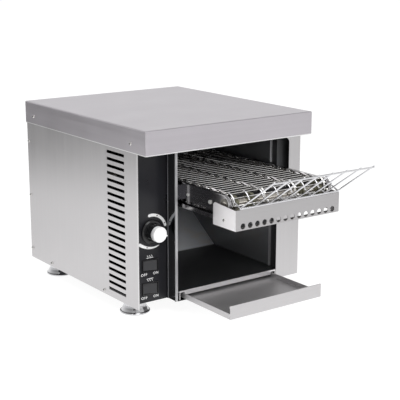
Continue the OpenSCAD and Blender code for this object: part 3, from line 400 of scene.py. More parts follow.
def brushed(colour, roughness, grain, along, along_side, metallic=1.0, flank_light=1.0, painted_highlights=()):
    """Satin sheet: streaks along one axis, and along another on faces that look left or right.

    Painted highlights are thin strips beside an edge: where each starts and ends along its axes, and its
    colour.
    """
    finish = Finish(metallic=metallic)
    sideways = abs(finish.axis("X", "Normal")) > 0.7
    front = tuple(60 * grain if axis == along else grain for axis in "XYZ")
    flank = tuple(60 * grain if axis == along_side else grain for axis in "XYZ")
    pitch = finish.mix(sideways, front, flank)
    streaks = finish.noise(pitch, detail=9.0, rough=0.72)
    hairs = finish.noise(finish.vector("MULTIPLY", pitch, (0.12,) * 3), detail=3.0, rough=0.6)
    haze = finish.noise(70 * MM, detail=3.0)
    tone = finish.shades((streaks - 0.5) * 0.9 + (haze - 0.5) * 0.5 + 0.5, colour, 0.92, 1.08)
    # painted light: faces that look left or right made lighter, as if a lamp fell on them
    if flank_light != 1.0:
        tone = finish.mix(sideways, tone, shade(colour, flank_light))
    # painted highlights: bright strips where an edge catches the light
    for ranges, bright in painted_highlights:
        inside = 1.0
        for axis, (start, end) in ranges.items():
            place = finish.axis(axis)
            inside = (place > start) * (1 - (place > end)) * inside
        tone = finish.mix(inside, tone, bright)
    satin = (streaks - 0.5) * 0.2 + (haze - 0.5) * 0.1 + roughness
    return finish.coat(tone, satin, streaks * 0.6 + hairs * 0.4, 0.02 * MM, 0.35)


def plated(colour, roughness=0.38, spangle=5 * MM):
    """Dull zinc plate with a faint spangle."""
    finish = Finish(metallic=1.0)
    crystals = finish.cells(spangle)
    cloud = finish.noise(22 * MM, detail=5.0)
    tone = finish.shades(crystals * 0.35 + cloud * 0.65, colour, 0.86, 1.12)
    dull = (crystals - 0.5) * 0.08 + (cloud - 0.5) * 0.14 + roughness
    return finish.coat(tone, dull, finish.noise(0.9 * MM), 0.01 * MM)


def liner(colour, roughness=0.3, metallic=0.4, edge_y=None, behind=False, painted_light=None):
    """Chamber steel, dulled by heat and crumbs, with a painted highlight in front of edge_y, or behind it.
    """
    finish = Finish(metallic=metallic)
    bloom = finish.noise((60 * MM, 60 * MM, 34 * MM), detail=4.0)
    crumbs = finish.noise(2.2 * MM, detail=2.0).between(0.7, 0.78)
    warm = (colour[0], colour[1] * 0.94, colour[2] * 0.88)
    burnt = finish.mix(bloom.between(0.45, 0.75), colour, warm)
    tone = finish.mix(crumbs * 0.4, burnt, shade(colour, 0.4))
    # painted highlight: a thin line in bare steel colour where an edge catches the light
    if edge_y is not None:
        bare = finish.axis("Y").between(edge_y, edge_y + 0.2 * MM)
        bare = bare if behind else 1 - bare
        tone = finish.mix(bare, tone, (0.42, 0.42, 0.43))
        finish.set("Metallic", (1 - bare) * (metallic - 0.3) + 0.3)
    # painted light and shade from a hook, as on the chute's slide
    if painted_light:
        tone = painted_light(finish, tone, colour)
    dents = finish.noise(34 * MM, detail=2.0) + crumbs * 0.05
    return finish.coat(tone, bloom * 0.12 + crumbs * 0.2 + (roughness - 0.06), dents, 0.2 * MM, 0.2)


def chute_painted_light(finish, tone, colour):
    """Darker on the level floor, a painted highlight at the knee and painted shade high up the slide."""
    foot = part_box("chute")[0].z
    high = finish.axis("Z").between(foot + KNEE_RISE, foot + SLIDE_FADE)
    knee = 1 - finish.axis("Z").between(foot + 2 * HALF_SHEET, foot + KNEE_RISE)
    level = finish.axis("Z", "Normal").between(0.9, 0.97)
    # painted shade: darker high up the slide, far from the light of the front opening
    tone = finish.mix(high, tone, shade(colour, 0.5))
    # painted highlight: a bright line at the knee, where the fold catches the light
    tone = finish.mix(knee, tone, (0.5, 0.52, 0.54))
    return finish.mix(level, tone, shade(colour, 0.035))


def enamel(colour, roughness=0.3, peel=1.1 * MM, fold_x=None):
    """Baked paint with a fine orange peel and a grey painted highlight along a fold that starts at fold_x.
    """
    finish = Finish(specular_ior_level=0.4)
    haze = finish.noise(45 * MM, detail=4.0)
    tone = finish.shades(haze, colour, 0.85, 1.2)
    # painted highlight: a grey line where the fold catches the light
    if fold_x is not None:
        tone = finish.mix(finish.axis("X").between(fold_x, fold_x + 0.3 * MM), tone, (0.3, 0.3, 0.32))
    return finish.coat(tone, (haze - 0.5) * 0.14 + roughness, finish.noise(peel, detail=2.0), 0.02 * MM)


def drawn_wire(colour, roughness, heat=0.0, underside_shade=None):
    """Bright wire: faint drawing lines along X, a straw tint from heat, painted shade underneath."""
    finish = Finish(metallic=1.0)
    lines = finish.noise((30 * MM, 0.5 * MM, 0.5 * MM), detail=3.0)
    cloud = finish.noise(24 * MM, detail=4.0)
    straw = (colour[0] * 0.92, colour[1] * 0.78, colour[2] * 0.56)
    tone = finish.mix(cloud.between(0.42, 0.7) * heat, finish.shades(lines, colour, 0.9, 1.08), straw)
    # painted shade: faces that look down get the dark underside colour, those that look up keep the wire's
    if underside_shade:
        tone = finish.mix(finish.axis("Z", "Normal").between(-0.15, 0.3), underside_shade, tone)
    return finish.coat(tone, (lines - 0.5) * 0.08 + cloud * 0.06 + roughness, lines, 0.01 * MM, 0.2)


def turned(colour, roughness=0.22):
    """Turned bar: tool rings round the X axis."""
    finish = Finish(metallic=1.0)
    rings = finish.noise((0.35 * MM, 30 * MM, 30 * MM), detail=4.0, rough=0.7)
    cloud = finish.noise(18 * MM)
    tone = finish.shades(rings * 0.6 + cloud * 0.4, colour, 0.85, 1.15)
    return finish.coat(tone, (rings - 0.5) * 0.16 + roughness, rings, 0.01 * MM)


def riveted(colour, bright, rail_x):
    """Bar painted dark for shade under the belt; bright rivet heads beyond the two rails' inner faces."""
    finish = Finish(metallic=0.8)
    middle_x = middle("belt_top_run").x
    head = abs(finish.axis("X") - middle_x) > middle_x - rail_x - RIVET_REACH
    return finish.coat(finish.mix(head, shade(colour, 0.9), bright), finish.noise(6 * MM) * 0.2 + 0.2)


def sintered(colour, roughness, oil):
    """Pressed and sintered metal: fine pores under a film of oil."""
    finish = Finish(metallic=0.75, coat_weight=oil, coat_roughness=0.2)
    pores = finish.noise(0.6 * MM, detail=3.0, rough=0.7)
    stain = finish.noise(7 * MM, detail=4.0)
    tone = finish.shades(stain * 0.7 + pores * 0.3, colour, 0.6, 1.5)
    return finish.coat(tone, pores * 0.2 + stain * 0.12 + roughness, pores, 0.05 * MM, 0.5)


def moulded(colour, roughness, texture=0.4 * MM, depth=0.02 * MM):
    """Moulded plastic with a spark-eroded texture and slight handling marks."""
    finish = Finish(specular_ior_level=0.45)
    haze = finish.noise(9 * MM, detail=4.0)
    tone = finish.shades(haze, colour, 0.88, 1.14)
    return finish.coat(tone, (haze - 0.5) * 0.14 + roughness, finish.noise(texture, detail=2.0), depth, 0.4)


def glazed(colour):
    """Glazed ceramic with iron specks."""
    finish = Finish(coat_weight=0.6, coat_roughness=0.12)
    specks = finish.noise(0.8 * MM, detail=2.0).between(0.68, 0.76)
    cloud = finish.noise(6 * MM)
    body = finish.shades(cloud, colour, 0.92, 1.05)
    speckled = finish.mix(specks * 0.5, body, (0.35, 0.24, 0.14))
    return finish.coat(speckled, cloud * 0.2 + 0.2, cloud, 0.05 * MM)


def quartz():
    """Drawn quartz, painted dark grey for the shade seen through the belt."""
    finish = Finish(ior=1.46, transmission_weight=0.5)
    lines = finish.noise((60 * MM, 1.2 * MM, 1.2 * MM), detail=3.0)
    return finish.coat(finish.mix(lines, (0.05, 0.048, 0.046), (0.1, 0.096, 0.09)), lines * 0.2 + 0.16)


def ink(colour, roughness=0.42):
    """Screen print: flat ink with a slightly uneven film."""
    finish = Finish()
    film = finish.noise(1.6 * MM, detail=3.0)
    return finish.coat(finish.shades(film, colour, 0.93, 1.05), film * 0.12 + roughness)


def sheet_finishes(sheet):
    """Bare and plated sheet of the cabinet, the tray and the conveyor."""
    steel, rough, grain = tuple(sheet.steel), sheet.roughness, sheet.grain
    lilac = (steel[0], steel[1] * 0.975, steel[2] * 1.02)
    skirt_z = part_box("top_cover")[0].z
    panel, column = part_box("left_side_panel")
    hem, fold = (column.x - EDGE_BAND, column.x), (panel.y, panel.y + EDGE_BAND)
    # painted highlights along the cover's skirt edge and along the side panels' front folds and edge
    skirt_highlight = [({"Z": (skirt_z, skirt_z + EDGE_BAND)}, (0.95, 0.95, 0.95))]
    column_highlights = [({"X": hem, "Y": fold}, (0.98, 0.98, 0.98)), ({"Y": fold}, (0.9, 0.9, 0.9))]
    return {
        "cover_steel": brushed(lilac, rough, grain, "X", "Y", painted_highlights=skirt_highlight),
        "side_steel": brushed(steel, rough, grain, "X", "Z", painted_highlights=column_highlights),
        "front_steel": brushed(steel, rough, grain, "Z", "Z"),
        "tray_steel": brushed(steel, rough + 0.12, grain, "X", "Y", 0.86),
        # painted light: the lip's steel made 1.25 times lighter, as if it caught more light
        "lip_steel": brushed(shade(steel, 1.25), rough, grain, "X", "Y", 0.7),
        # painted shade: the rails' steel made darker, for the web in shade under their flanges
        "rail_steel": brushed(shade(steel, 0.75), 0.15, grain, "Y", "Y"),
        # painted shade on the guard's front (0.9) and painted light on its end plates (1.8 times lighter)
        "guard_steel": brushed(shade(steel, 0.9), 0.36, 0.5 * grain, "X", "Y", flank_light=1.8),
        "plated_steel": plated((0.5, 0.5, 0.5)),
        # painted shade: the base plate nearly black, for the shade seen through the vents
        "base_steel": plated((0.035, 0.035, 0.037)),
        # painted shade: the rail brackets darkened, for the shade inside their channels
        "bracket_steel": plated((0.09, 0.09, 0.1), 0.24),
    }


def dark_finishes(sheet):
    """Chamber steel dulled by heat, its copies in painted shade and light, and the paint of the control
    panel.
    """
    steel = tuple(sheet.liner)
    wall_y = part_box("chamber_wall")[0].y
    hem_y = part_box("divider")[0].y + HEM_DEPTH
    return {
        "liner_steel": liner(steel),
        # painted light: the slide is the liner's steel made 2.1 times lighter, as if lit through the front
        "slide_steel": liner(shade(steel, 2.1), 0.3, painted_light=chute_painted_light),
        # painted shade: the recessed filler plate made dark; a painted highlight behind a line before the
        # wall
        "filler_steel": liner(shade(steel, 0.12), 0.4, edge_y=wall_y - FILLER_EDGE, behind=True),
        # painted shade: the chamber wall darker than the liner, and a painted highlight along its front
        # flange
        "wall_steel": liner(shade(steel, 0.55), 0.22, edge_y=wall_y + WALL_FLANGE),
        # painted shade: the strips under the belt made nearly black, for the shade seen through it
        "strip_steel": liner(shade(steel, 0.08), 0.3),
        # painted highlight: a bright line along the divider's front hem
        "divider_steel": liner(shade(steel, 0.6), 0.09, 1.0, edge_y=hem_y),
        # painted shade: the tie bars under the belt made nearly black
        "tie_steel": riveted(shade(steel, 0.08), (0.8, 0.8, 0.78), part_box("left_rail")[0].x),
        "panel_enamel": enamel(tuple(sheet.enamel), fold_x=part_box("control_panel")[1].x - FOLD_LINE),
    }


def metal_finishes(belt, rack):
    """Wires, turned bars, sintered parts and other small metal."""
    chrome = tuple(rack.colour)
    return {
        "belt_wire": drawn_wire(tuple(belt.colour), 0.14, heat=0.12, underside_shade=tuple(belt.underside_shade)),
        # painted shade: the bottom run is the same wire as the top, painted darker
        "return_wire": drawn_wire(shade(belt.colour, 0.12), 0.3, heat=0.3),
        "chrome": drawn_wire(chrome, 0.09),
        # painted shade: the feet's chrome made darker than the rack's
        "foot_chrome": drawn_wire(shade(chrome, 0.82), 0.1),
        # painted shade: the coils made nearly black, for the shade seen through the belt
        "coil_wire": drawn_wire((0.08, 0.074, 0.07), 0.4, heat=0.4),
        "bright_bar": turned((0.7, 0.66, 0.6)),
        "screw_steel": turned((0.7, 0.69, 0.67), 0.16),
        "sprocket_iron": sintered((0.15, 0.145, 0.1), 0.28, 0.35),
        "bush_bronze": sintered((0.2, 0.19, 0.17), 0.26, 0.3),
        "chain_steel": sintered((0.26, 0.25, 0.24), 0.24, 0.3),
        "control_case": plated((0.45, 0.44, 0.42), 0.3, 2 * MM),
        "motor_paint": enamel((0.045, 0.05, 0.055), 0.4, 0.7 * MM),
    }


def other_finishes(printed):
    """Plastics, ceramic, quartz and ink."""
    return {
        "fan_plastic": moulded((0.03, 0.03, 0.032), 0.5),
        "black_plastic": moulded((0.012, 0.012, 0.013), 0.2),
        "rocker_plastic": moulded((0.03, 0.03, 0.033), 0.4),
        "white_plastic": moulded((0.9, 0.9, 0.9), 0.25, 0.8 * MM, 0.01 * MM),
        "ceramic": glazed((0.8, 0.76, 0.68)),
        "quartz": quartz(),
        "white_ink": ink(tuple(printed.white)),
        # also the painted shade in the screws' cross recesses
        "black_ink": ink((0.02, 0.02, 0.022)),
    }


def make_finishes(scene):
    """Every finish of the toaster by its name."""
    finishes = {
        **sheet_finishes(scene.toaster_sheet),
        **dark_finishes(scene.toaster_sheet),
        **metal_finishes(scene.toaster_belt, scene.toaster_rack),
        **other_finishes(scene.toaster_print),
    }
    for name, finish in finishes.items():
        finish.material.name = name
    return finishes


FINISHES = {}


# ---- shaping ----


def soft_shading():
    """Modifier nodes that drop stored normals, smooth every face and keep steep edges sharp."""
    group = bpy.data.node_groups.new("soft_shading", "GeometryNodeTree")
    for way in ("INPUT", "OUTPUT"):
        group.interface.new_socket("Geometry", in_out=way, socket_type="NodeSocketGeometry")
    nodes = Nodes(group)
    bare = {"Geometry": nodes.node("NodeGroupInput"), "Name": "custom_normal"}
    faces = {"Geometry": nodes.node("GeometryNodeRemoveAttribute", {}, bare)}
    angles = {"A": nodes.node("GeometryNodeInputMeshEdgeAngle"), "B": SHARP}
    edges = {
        "Geometry": nodes.node("GeometryNodeSetShadeSmooth", {}, faces),
        "Selection": nodes.node("FunctionNodeCompare", {"operation": "GREATER_THAN"}, angles),
        "Shade Smooth": False,
    }
    shaded = nodes.node("GeometryNodeSetShadeSmooth", {"domain": "EDGE"}, edges)
    nodes.feed(group.nodes.new("NodeGroupOutput").inputs[0], shaded)
    return group


def dress(finish, *nodes, edge=0.15 * MM, segments=2, pierced=False):
    """Gives nodes their finish, rounds their edges a little and smooths their curved faces."""
    shading = bpy.data.node_groups.get("soft_shading") or soft_shading()
    for node in nodes:
        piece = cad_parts[node]
        if not piece.material_slots:
            raise RuntimeError(f"{node} has no material slot")
        for place in piece.material_slots:
            place.material = FINISHES[finish].material
        piece.modifiers.new("weld", "WELD").merge_threshold = SAME_PLACE
        if not pierced:
            flats = piece.modifiers.new("flats", "DECIMATE")
            flats.decimate_type = "DISSOLVE"
            flats.angle_limit = FLAT
        bevel = piece.modifiers.new("edges", "BEVEL")
        bevel.width = edge
        bevel.segments = segments
        bevel.limit_method = "ANGLE"
        bevel.angle_limit = SHARP
        bevel.miter_outer = "MITER_ARC"
        piece.modifiers.new("shading", "NODES").node_group = shading
        piece.modifiers.new("flatness", "WEIGHTED_NORMAL").keep_sharp = True


def to_mesh(name, work, smooth):
    """The mesh of a finished bmesh, with its faces turned outward."""
    bmesh.ops.recalc_face_normals(work, faces=work.faces)
    mesh = bpy.data.meshes.new(name)
    work.to_mesh(mesh)
    work.free()
    mesh.shade_smooth() if smooth else mesh.shade_flat()
    return mesh


def put(name, data, finish=None):
    """A new object in the scene, with its finish if it has one."""
    if finish:
        data.materials.append(finish.material)
    made = bpy.data.objects.new(name, data)
    bpy.context.scene.collection.objects.link(made)
    return made


def ride_cabinet(piece):
    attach(piece, ROOT)


def new_piece(name, work, finish, nodes=(), smooth=True):
    """A finished mesh as a piece of the cabinet, standing for the nodes that it replaces."""
    piece = put(name, to_mesh(name, work, smooth), FINISHES[finish])
    ride_cabinet(piece)
    if nodes:
        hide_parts(*nodes)


def middle(node):
    """The middle of a node's box."""
    low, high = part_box(node)
    return (low + high) / 2


def around(centre, radius, angle, u=BACK, v=UP):
    """The point at an angle on a circle in the plane of u and v."""
    return centre + radius * (math.cos(angle) * u + math.sin(angle) * v)


def arc(centre, radius, start, end, steps, u=BACK, v=UP):
    """Points on an arc in the plane of u and v, from one angle to another."""
    return [around(centre, radius, start + (end - start) * k / steps, u, v) for k in range(steps + 1)]


def ring(centre, radius, sides, u=BACK, v=UP):
    """Points round a circle in the plane of u and v."""
    return arc(centre, radius, 0, TURN, sides, u, v)[:-1]


def rounded(points, radius, steps=5):
    """The path with each inner corner turned into an arc of about that radius."""
    path = [points[0]]
    for before, corner, after in zip(points, points[1:], points[2:]):
        a, b = (before - corner).normalized(), (after - corner).normalized()
        half = a.angle(b) / 2
        if half > STRAIGHT:
            continue
        cut = min(radius / math.tan(half), (before - corner).length / 2, (after - corner).length / 2)
        start, end = corner + a * cut, corner + b * cut
        for k in range(steps + 1):
            t = k / steps
            path.append(start * (1 - t) ** 2 + corner * 2 * t * (1 - t) + end * t**2)
    return [*path, points[-1]]


def headings(path):
    """The direction of a path at each of its points."""
    return [(after - before).normalized() for before, after in zip(path[:1] + path, path[1:] + path[-1:])]


def loft(work, sections, closed=False):
    """Faces between sections of a form; its ends are capped, or the last section joins the first."""
    rows = [[work.verts.new(point) for point in section] for section in sections]
    pairs = zip(rows[-1:] + rows, rows) if closed else zip(rows, rows[1:])
    for low, high in pairs:
        for k in range(len(low)):
            work.faces.new((low[k - 1], low[k], high[k], high[k - 1]))
    if not closed:
        work.faces.new(rows[0])
        work.faces.new(rows[-1])


def sweep(work, path, radius, sides):
    """Round wire along a path, with domed ends; the ring's frame is carried along without twist."""
    path = [p for k, p in enumerate(path) if k == 0 or (p - path[k - 1]).length > NO_STEP]
    ways = headings(path)
    side = ways[0].orthogonal().normalized()
    dome = [(radius * math.cos(a), DOME_RISE * radius * math.sin(a)) for a in DOME_ANGLES]
    stations = [(path[0] - ways[0] * rise, ways[0], r) for r, rise in dome]
    stations += [(p, way, radius) for p, way in zip(path, ways)]
    stations += [(path[-1] + ways[-1] * rise, ways[-1], r) for r, rise in reversed(dome)]
    sections = []
    for point, way, r in stations:
        side = (side - way * side.dot(way)).normalized()
        sections.append(ring(point, r, sides, side, way.cross(side)))
    loft(work, sections)


def ribbon(work, path, width, thick, facing=-BACK):
    """Flat band of ink along a path: width is one number or one for each point."""
    widths = width if isinstance(width, list) else [width] * len(path)
    lift = facing * thick
    sections = []
    for point, way, w in zip(path, headings(path), widths):
        aside = way.cross(facing).normalized() * w / 2
        sections.append([point - aside, point + aside, point + aside + lift, point - aside + lift])
    loft(work, sections)


# ---- operators ----


class TOASTER_OT_cabinet(bpy.types.Operator):
    """Brushed steel on the cover, the panels and the front"""

    bl_idname = "toaster.cabinet"
    bl_label = "Cabinet"

    def execute(self, context):
        edge = context.scene.toaster_sheet.edge
        dress("cover_steel", "top_cover", edge=edge)
        dress("side_steel", "left_side_panel", "right_side_panel", "back_panel", edge=edge, pierced=True)
        dress("front_steel", "front_frame", edge=edge)
        dress("lip_steel", "chute_lip", edge=edge)
        dress("base_steel", "base_plate", edge=edge)
        return {"FINISHED"}


class TOASTER_OT_chamber(bpy.types.Operator):
    """Steel round the toasting chamber, darkened by heat and by painted shade"""

    bl_idname = "toaster.chamber"
    bl_label = "Chamber"

    def execute(self, context):
        edge = context.scene.toaster_sheet.edge
        dress("liner_steel", "chamber_roof", edge=edge)
        dress("wall_steel", "chamber_wall", edge=edge)
        dress("filler_steel", "side_filler", edge=edge)
        dress("slide_steel", "chute", edge=edge)
        dress("divider_steel", "divider", edge=edge, pierced=True)
        return {"FINISHED"}


class TOASTER_OT_conveyor(bpy.types.Operator):
    """Rails, guard, shafts, sprockets and bushes of the conveyor"""

    bl_idname = "toaster.conveyor"
    bl_label = "Conveyor"

    def execute(self, context):
        edge = context.scene.toaster_sheet.edge
        dress("rail_steel", "left_rail", "right_rail", edge=edge, pierced=True)
        dress("guard_steel", "conveyor_guard", edge=edge, pierced=True)
        dress("bracket_steel", "rail_brackets")
        dress("tie_steel", "tie_bars")
        dress("strip_steel", "belt_strips")
        dress("bright_bar", "front_shaft", "rear_shaft", edge=0.4 * MM)
        dress("sprocket_iron", "front_sprockets", "rear_sprockets", edge=0.3 * MM)
        dress("bush_bronze", "front_bushes", "rear_bushes")
        return {"FINISHED"}


class BeltPath:
    """Where each belt wire lies, worked out from the two shafts."""

    def __init__(self):
        low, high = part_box("belt_top_run")
        self.left, self.right = low.x, high.x
        self.front, self.rear = middle("front_shaft"), middle("rear_shaft")
        self.front.x = self.rear.x = (low.x + high.x) / 2
        self.rear.z = self.front.z
        self.pitch = (self.rear.y - self.front.y) / BELT_SPANS
        self.wrap = self.pitch / (2 * math.sin(math.pi / BELT_TEETH))

    def wire(self, k):
        """Middle of wire k, counted from the top of the front sprocket."""
        step, half = TURN / BELT_TEETH, BELT_TEETH // 2
        k %= 2 * BELT_SPANS + BELT_TEETH
        if k <= BELT_SPANS:
            return self.front + BACK * self.pitch * k + UP * self.wrap
        k -= BELT_SPANS
        if k < half:
            return around(self.rear, self.wrap, math.pi / 2 - k * step)
        k -= half
        if k <= BELT_SPANS:
            return self.rear - BACK * self.pitch * k - UP * self.wrap
        return around(self.front, self.wrap, 1.5 * math.pi - (k - BELT_SPANS) * step)


class TOASTER_OT_belt(bpy.types.Operator):
    """Bent-wire belt: every wire hooks round the next one"""

    bl_idname = "toaster.belt"
    bl_label = "Belt"

    def execute(self, context):
        belt, path = context.scene.toaster_belt, BeltPath()
        for node, (first, last) in BELT_SECTIONS.items():
            work = bmesh.new()
            for k in range(first, last + 1):
                sweep(work, self.strand(belt, path, k), belt.wire / 2, belt.sides)
            finish = "return_wire" if node == "belt_bottom_run" else "belt_wire"
            new_piece(f"{node}_wires", work, finish, [node])
        return {"FINISHED"}

    def strand(self, belt, path, k):
        """Middle line of wire k: straight across, with a hairpin round the next wire in four places."""
        here, ahead = path.wire(k), path.wire(k + 1)
        forward, reach = (ahead - here).normalized(), (ahead - here).length
        grip = belt.wire + belt.play
        meets = math.pi / 2 + math.asin(grip / reach)
        up = ACROSS.cross(forward)
        hook = [Vector(), *arc(forward * reach, grip, meets, HOOK_END, HOOK_STEPS, forward, up)]
        outer = (path.right - path.left) / 2 - belt.offset - belt.hook / 2 - belt.wire / 2 - WIRE_END
        aside = belt.offset if k % 2 else -belt.offset
        points = [here + ACROSS * (path.left - here.x)]
        for place in HOOK_PLACES:
            x = outer * place + aside
            down, back = ([p + here + ACROSS * (x + s * belt.hook / 2) for p in hook] for s in (-1, 1))
            points += down + back[::-1]
        points.append(here + ACROSS * (path.right - here.x))
        return rounded(points, belt.bend, steps=2)


class TOASTER_OT_rack(bpy.types.Operator):
    """Welded wire feed rack in front of the belt"""

    bl_idname = "toaster.rack"
    bl_label = "Feed rack"

    def execute(self, context):
        rack = context.scene.toaster_rack
        low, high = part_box("feed_rack")
        foot, tip = self.slope(rack, low, high)
        rise = (tip - foot).normalized()
        lift = ACROSS.cross(-rise) * rack.lie
        work = bmesh.new()
        for place in (foot, tip):
            ends = [ACROSS * x + place for x in (low.x + rack.bar * BAR_END, high.x - rack.bar * BAR_END)]
            sweep(work, ends, rack.bar / 2, BAR_SIDES)
        line = self.rung(rack, foot + lift, tip + lift + rise * rack.tail)
        first, last = low.x + rack.bar / 2, high.x - rack.bar / 2
        for k in range(rack.rungs):
            x = ACROSS * (first + (last - first) * k / (rack.rungs - 1))
            sweep(work, [x + p for p in line], rack.rung / 2, RUNG_SIDES)
            for place in (foot, tip):
                self.weld(work, x + place + lift / 2, rack.weld)
        y = foot.y + HALF_SHEET + rack.bar / 2 + SEAT
        for x in (low.x + PIN_INSET, high.x - PIN_INSET):
            pin = [Vector((x, y, low.z + PIN_START)), Vector((x, y, foot.z - 1 * MM)), ACROSS * x + foot]
            sweep(work, rounded(pin, PIN_BEND), rack.rung / 2, RUNG_SIDES)
        new_piece("feed_rack_wires", work, "chrome", ["feed_rack"])
        return {"FINISHED"}

    def slope(self, rack, low, high):
        """Middles of the bottom bar and the top bar, seen from the side."""
        guard_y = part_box("conveyor_guard")[0].y
        foot = Vector((0, guard_y + HALF_SHEET, low.z + RACK_PIN + rack.bar / 2 + SEAT))
        end = Vector((0, low.y, high.z))
        end -= ACROSS.cross((end - foot).normalized()) * rack.rung / 2
        return foot, end - (end - foot).normalized() * (rack.tail + rack.rung / 2)

    def rung(self, rack, foot, end):
        """One wire from beyond the top bar, over the bottom bar and round the front of the belt."""
        shaft = middle("front_shaft")
        shaft.x = 0
        curl = arc(shaft, rack.curl, *CURL, CURL_STEPS)
        return rounded([end, foot, *curl], rack.bend)

    def weld(self, work, place, radius):
        shape = Matrix.Translation(place) @ Matrix.Diagonal(WELD_SHAPE)
        bmesh.ops.create_uvsphere(work, u_segments=12, v_segments=8, radius=radius, matrix=shape)


class TOASTER_OT_tray(bpy.types.Operator):
    """Brushed steel on the pull-out crumb tray"""

    bl_idname = "toaster.tray"
    bl_label = "Crumb tray"

    def execute(self, context):
        dress("tray_steel", "crumb_tray", edge=context.scene.toaster_sheet.edge)
        return {"FINISHED"}


class TOASTER_OT_controls(bpy.types.Operator):
    """Control panel, knob and rocker switches"""

    bl_idname = "toaster.controls"
    bl_label = "Controls"

    def execute(self, context):
        dress("panel_enamel", "control_panel", edge=context.scene.toaster_sheet.edge)
        dress("black_plastic", "knob_body", edge=0.35 * MM, segments=3)
        dress("white_plastic", "knob_cap", edge=0.3 * MM, segments=3)
        dress("bright_bar", "knob_shaft")
        dress("control_case", "speed_control")
        dress("black_plastic", "lower_switch_case", "upper_switch_case", edge=0.4 * MM, segments=3)
        dress("rocker_plastic", "lower_rocker", "upper_rocker", edge=0.4 * MM, segments=3)
        return {"FINISHED"}


class TOASTER_OT_print(bpy.types.Operator):
    """White print on the control panel: dial ring, switch positions and heater signs"""

    bl_idname = "toaster.print"
    bl_label = "Panel print"

    def execute(self, context):
        printed = context.scene.toaster_print
        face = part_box("lower_switch_case")[0].y + BEZEL_PROUD
        dial = middle("knob_shaft")
        dial.y = face
        self.dial_ring(printed, dial)
        self.dial_marks(printed, dial)
        for switch, waves_on_top in (("upper", True), ("lower", False)):
            low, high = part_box(f"{switch}_switch_case")
            for name, text, part in WORDS:
                x, z = low.x + (high.x - low.x) * part, low.z - WORD_DROP - printed.letters / 2
                self.word(printed, f"{switch}_{name}_mark", text, Vector((x, face, z)))
            base = Vector(((low.x + high.x) / 2, face, high.z + SIGN_GAP))
            self.sign(printed, f"{switch}_heater_sign", base, waves_on_top)
        return {"FINISHED"}

    def on_dial(self, dial, radius, degrees):
        """Point on the panel at a clock angle from straight up."""
        return around(dial, radius, math.radians(degrees), UP, ACROSS)

    def dial_ring(self, printed, dial):
        """An even band with round ends on top, and a band that swells from a point below."""
        work = bmesh.new()
        for (first, last), swelling in ((UPPER_ARC, False), (LOWER_ARC, True)):
            path, widths = [], []
            for k in range(ARC_STEPS + 1):
                part = k / ARC_STEPS
                end = min(part, 1 - part) * math.radians(last - first) * printed.ring / (printed.band / 2)
                width = printed.band * (math.sqrt(1 - (1 - min(end, 1)) ** 2) + 0.02)
                radius = printed.ring
                if swelling:
                    width = printed.band * SWELL * (part + 0.002) ** 0.45
                    radius += SWELL_OUT * printed.band + printed.flare * part**4 - width / 2
                path.append(self.on_dial(dial, radius, first + (last - first) * part))
                widths.append(width)
            ribbon(work, path, widths, printed.ink)
        new_piece("dial_ring", work, "white_ink", smooth=False)

    def dial_marks(self, printed, dial):
        """Plain dark marks on the ring."""
        work = bmesh.new()
        for degrees in MARKS:
            place = self.on_dial(dial, printed.ring, degrees) - BACK * printed.ink
            ends = [place - UP * printed.dot, place + UP * printed.dot]
            ribbon(work, ends, printed.dot * 1.6, printed.ink)
        new_piece("dial_marks", work, "black_ink", smooth=False)

    def word(self, printed, name, text, place):
        """Upright letters, centred on a place on the panel."""
        letters = bpy.data.curves.new(name, "FONT")
        letters.body = text
        letters.size = printed.letters / CAPITAL
        letters.align_x = "CENTER"
        letters.align_y = "CENTER"
        letters.extrude = printed.ink
        letters.offset = printed.letters * BOLDER
        letters.space_character = 1.2
        letters.resolution_u = 4
        piece = put(name, letters, FINISHES["white_ink"])
        piece.location = place
        piece.rotation_euler = (math.pi / 2, 0, 0)
        ride_cabinet(piece)

    def sign(self, printed, name, base, waves_on_top):
        """Heater sign: a plain bar for the bread and three waves on its warm side."""
        work = bmesh.new()
        bar = base if waves_on_top else base + UP * WAVES_TO_BAR
        foot = base + UP * BAR_TO_WAVES if waves_on_top else base
        ribbon(work, [bar - ACROSS * SIGN_BAR / 2, bar + ACROSS * SIGN_BAR / 2], SIGN_STROKE, printed.ink)
        for shift in WAVE_SHIFTS:
            wave = []
            for k in range(WAVE_STEPS + 1):
                part = k / WAVE_STEPS
                sway = shift + math.sin(part * TURN) * WAVE_SWAY
                wave.append(foot + ACROSS * sway + UP * part * WAVE_RISE)
            ribbon(work, wave, WAVE_STROKE, printed.ink)
        new_piece(name, work, "white_ink", smooth=False)


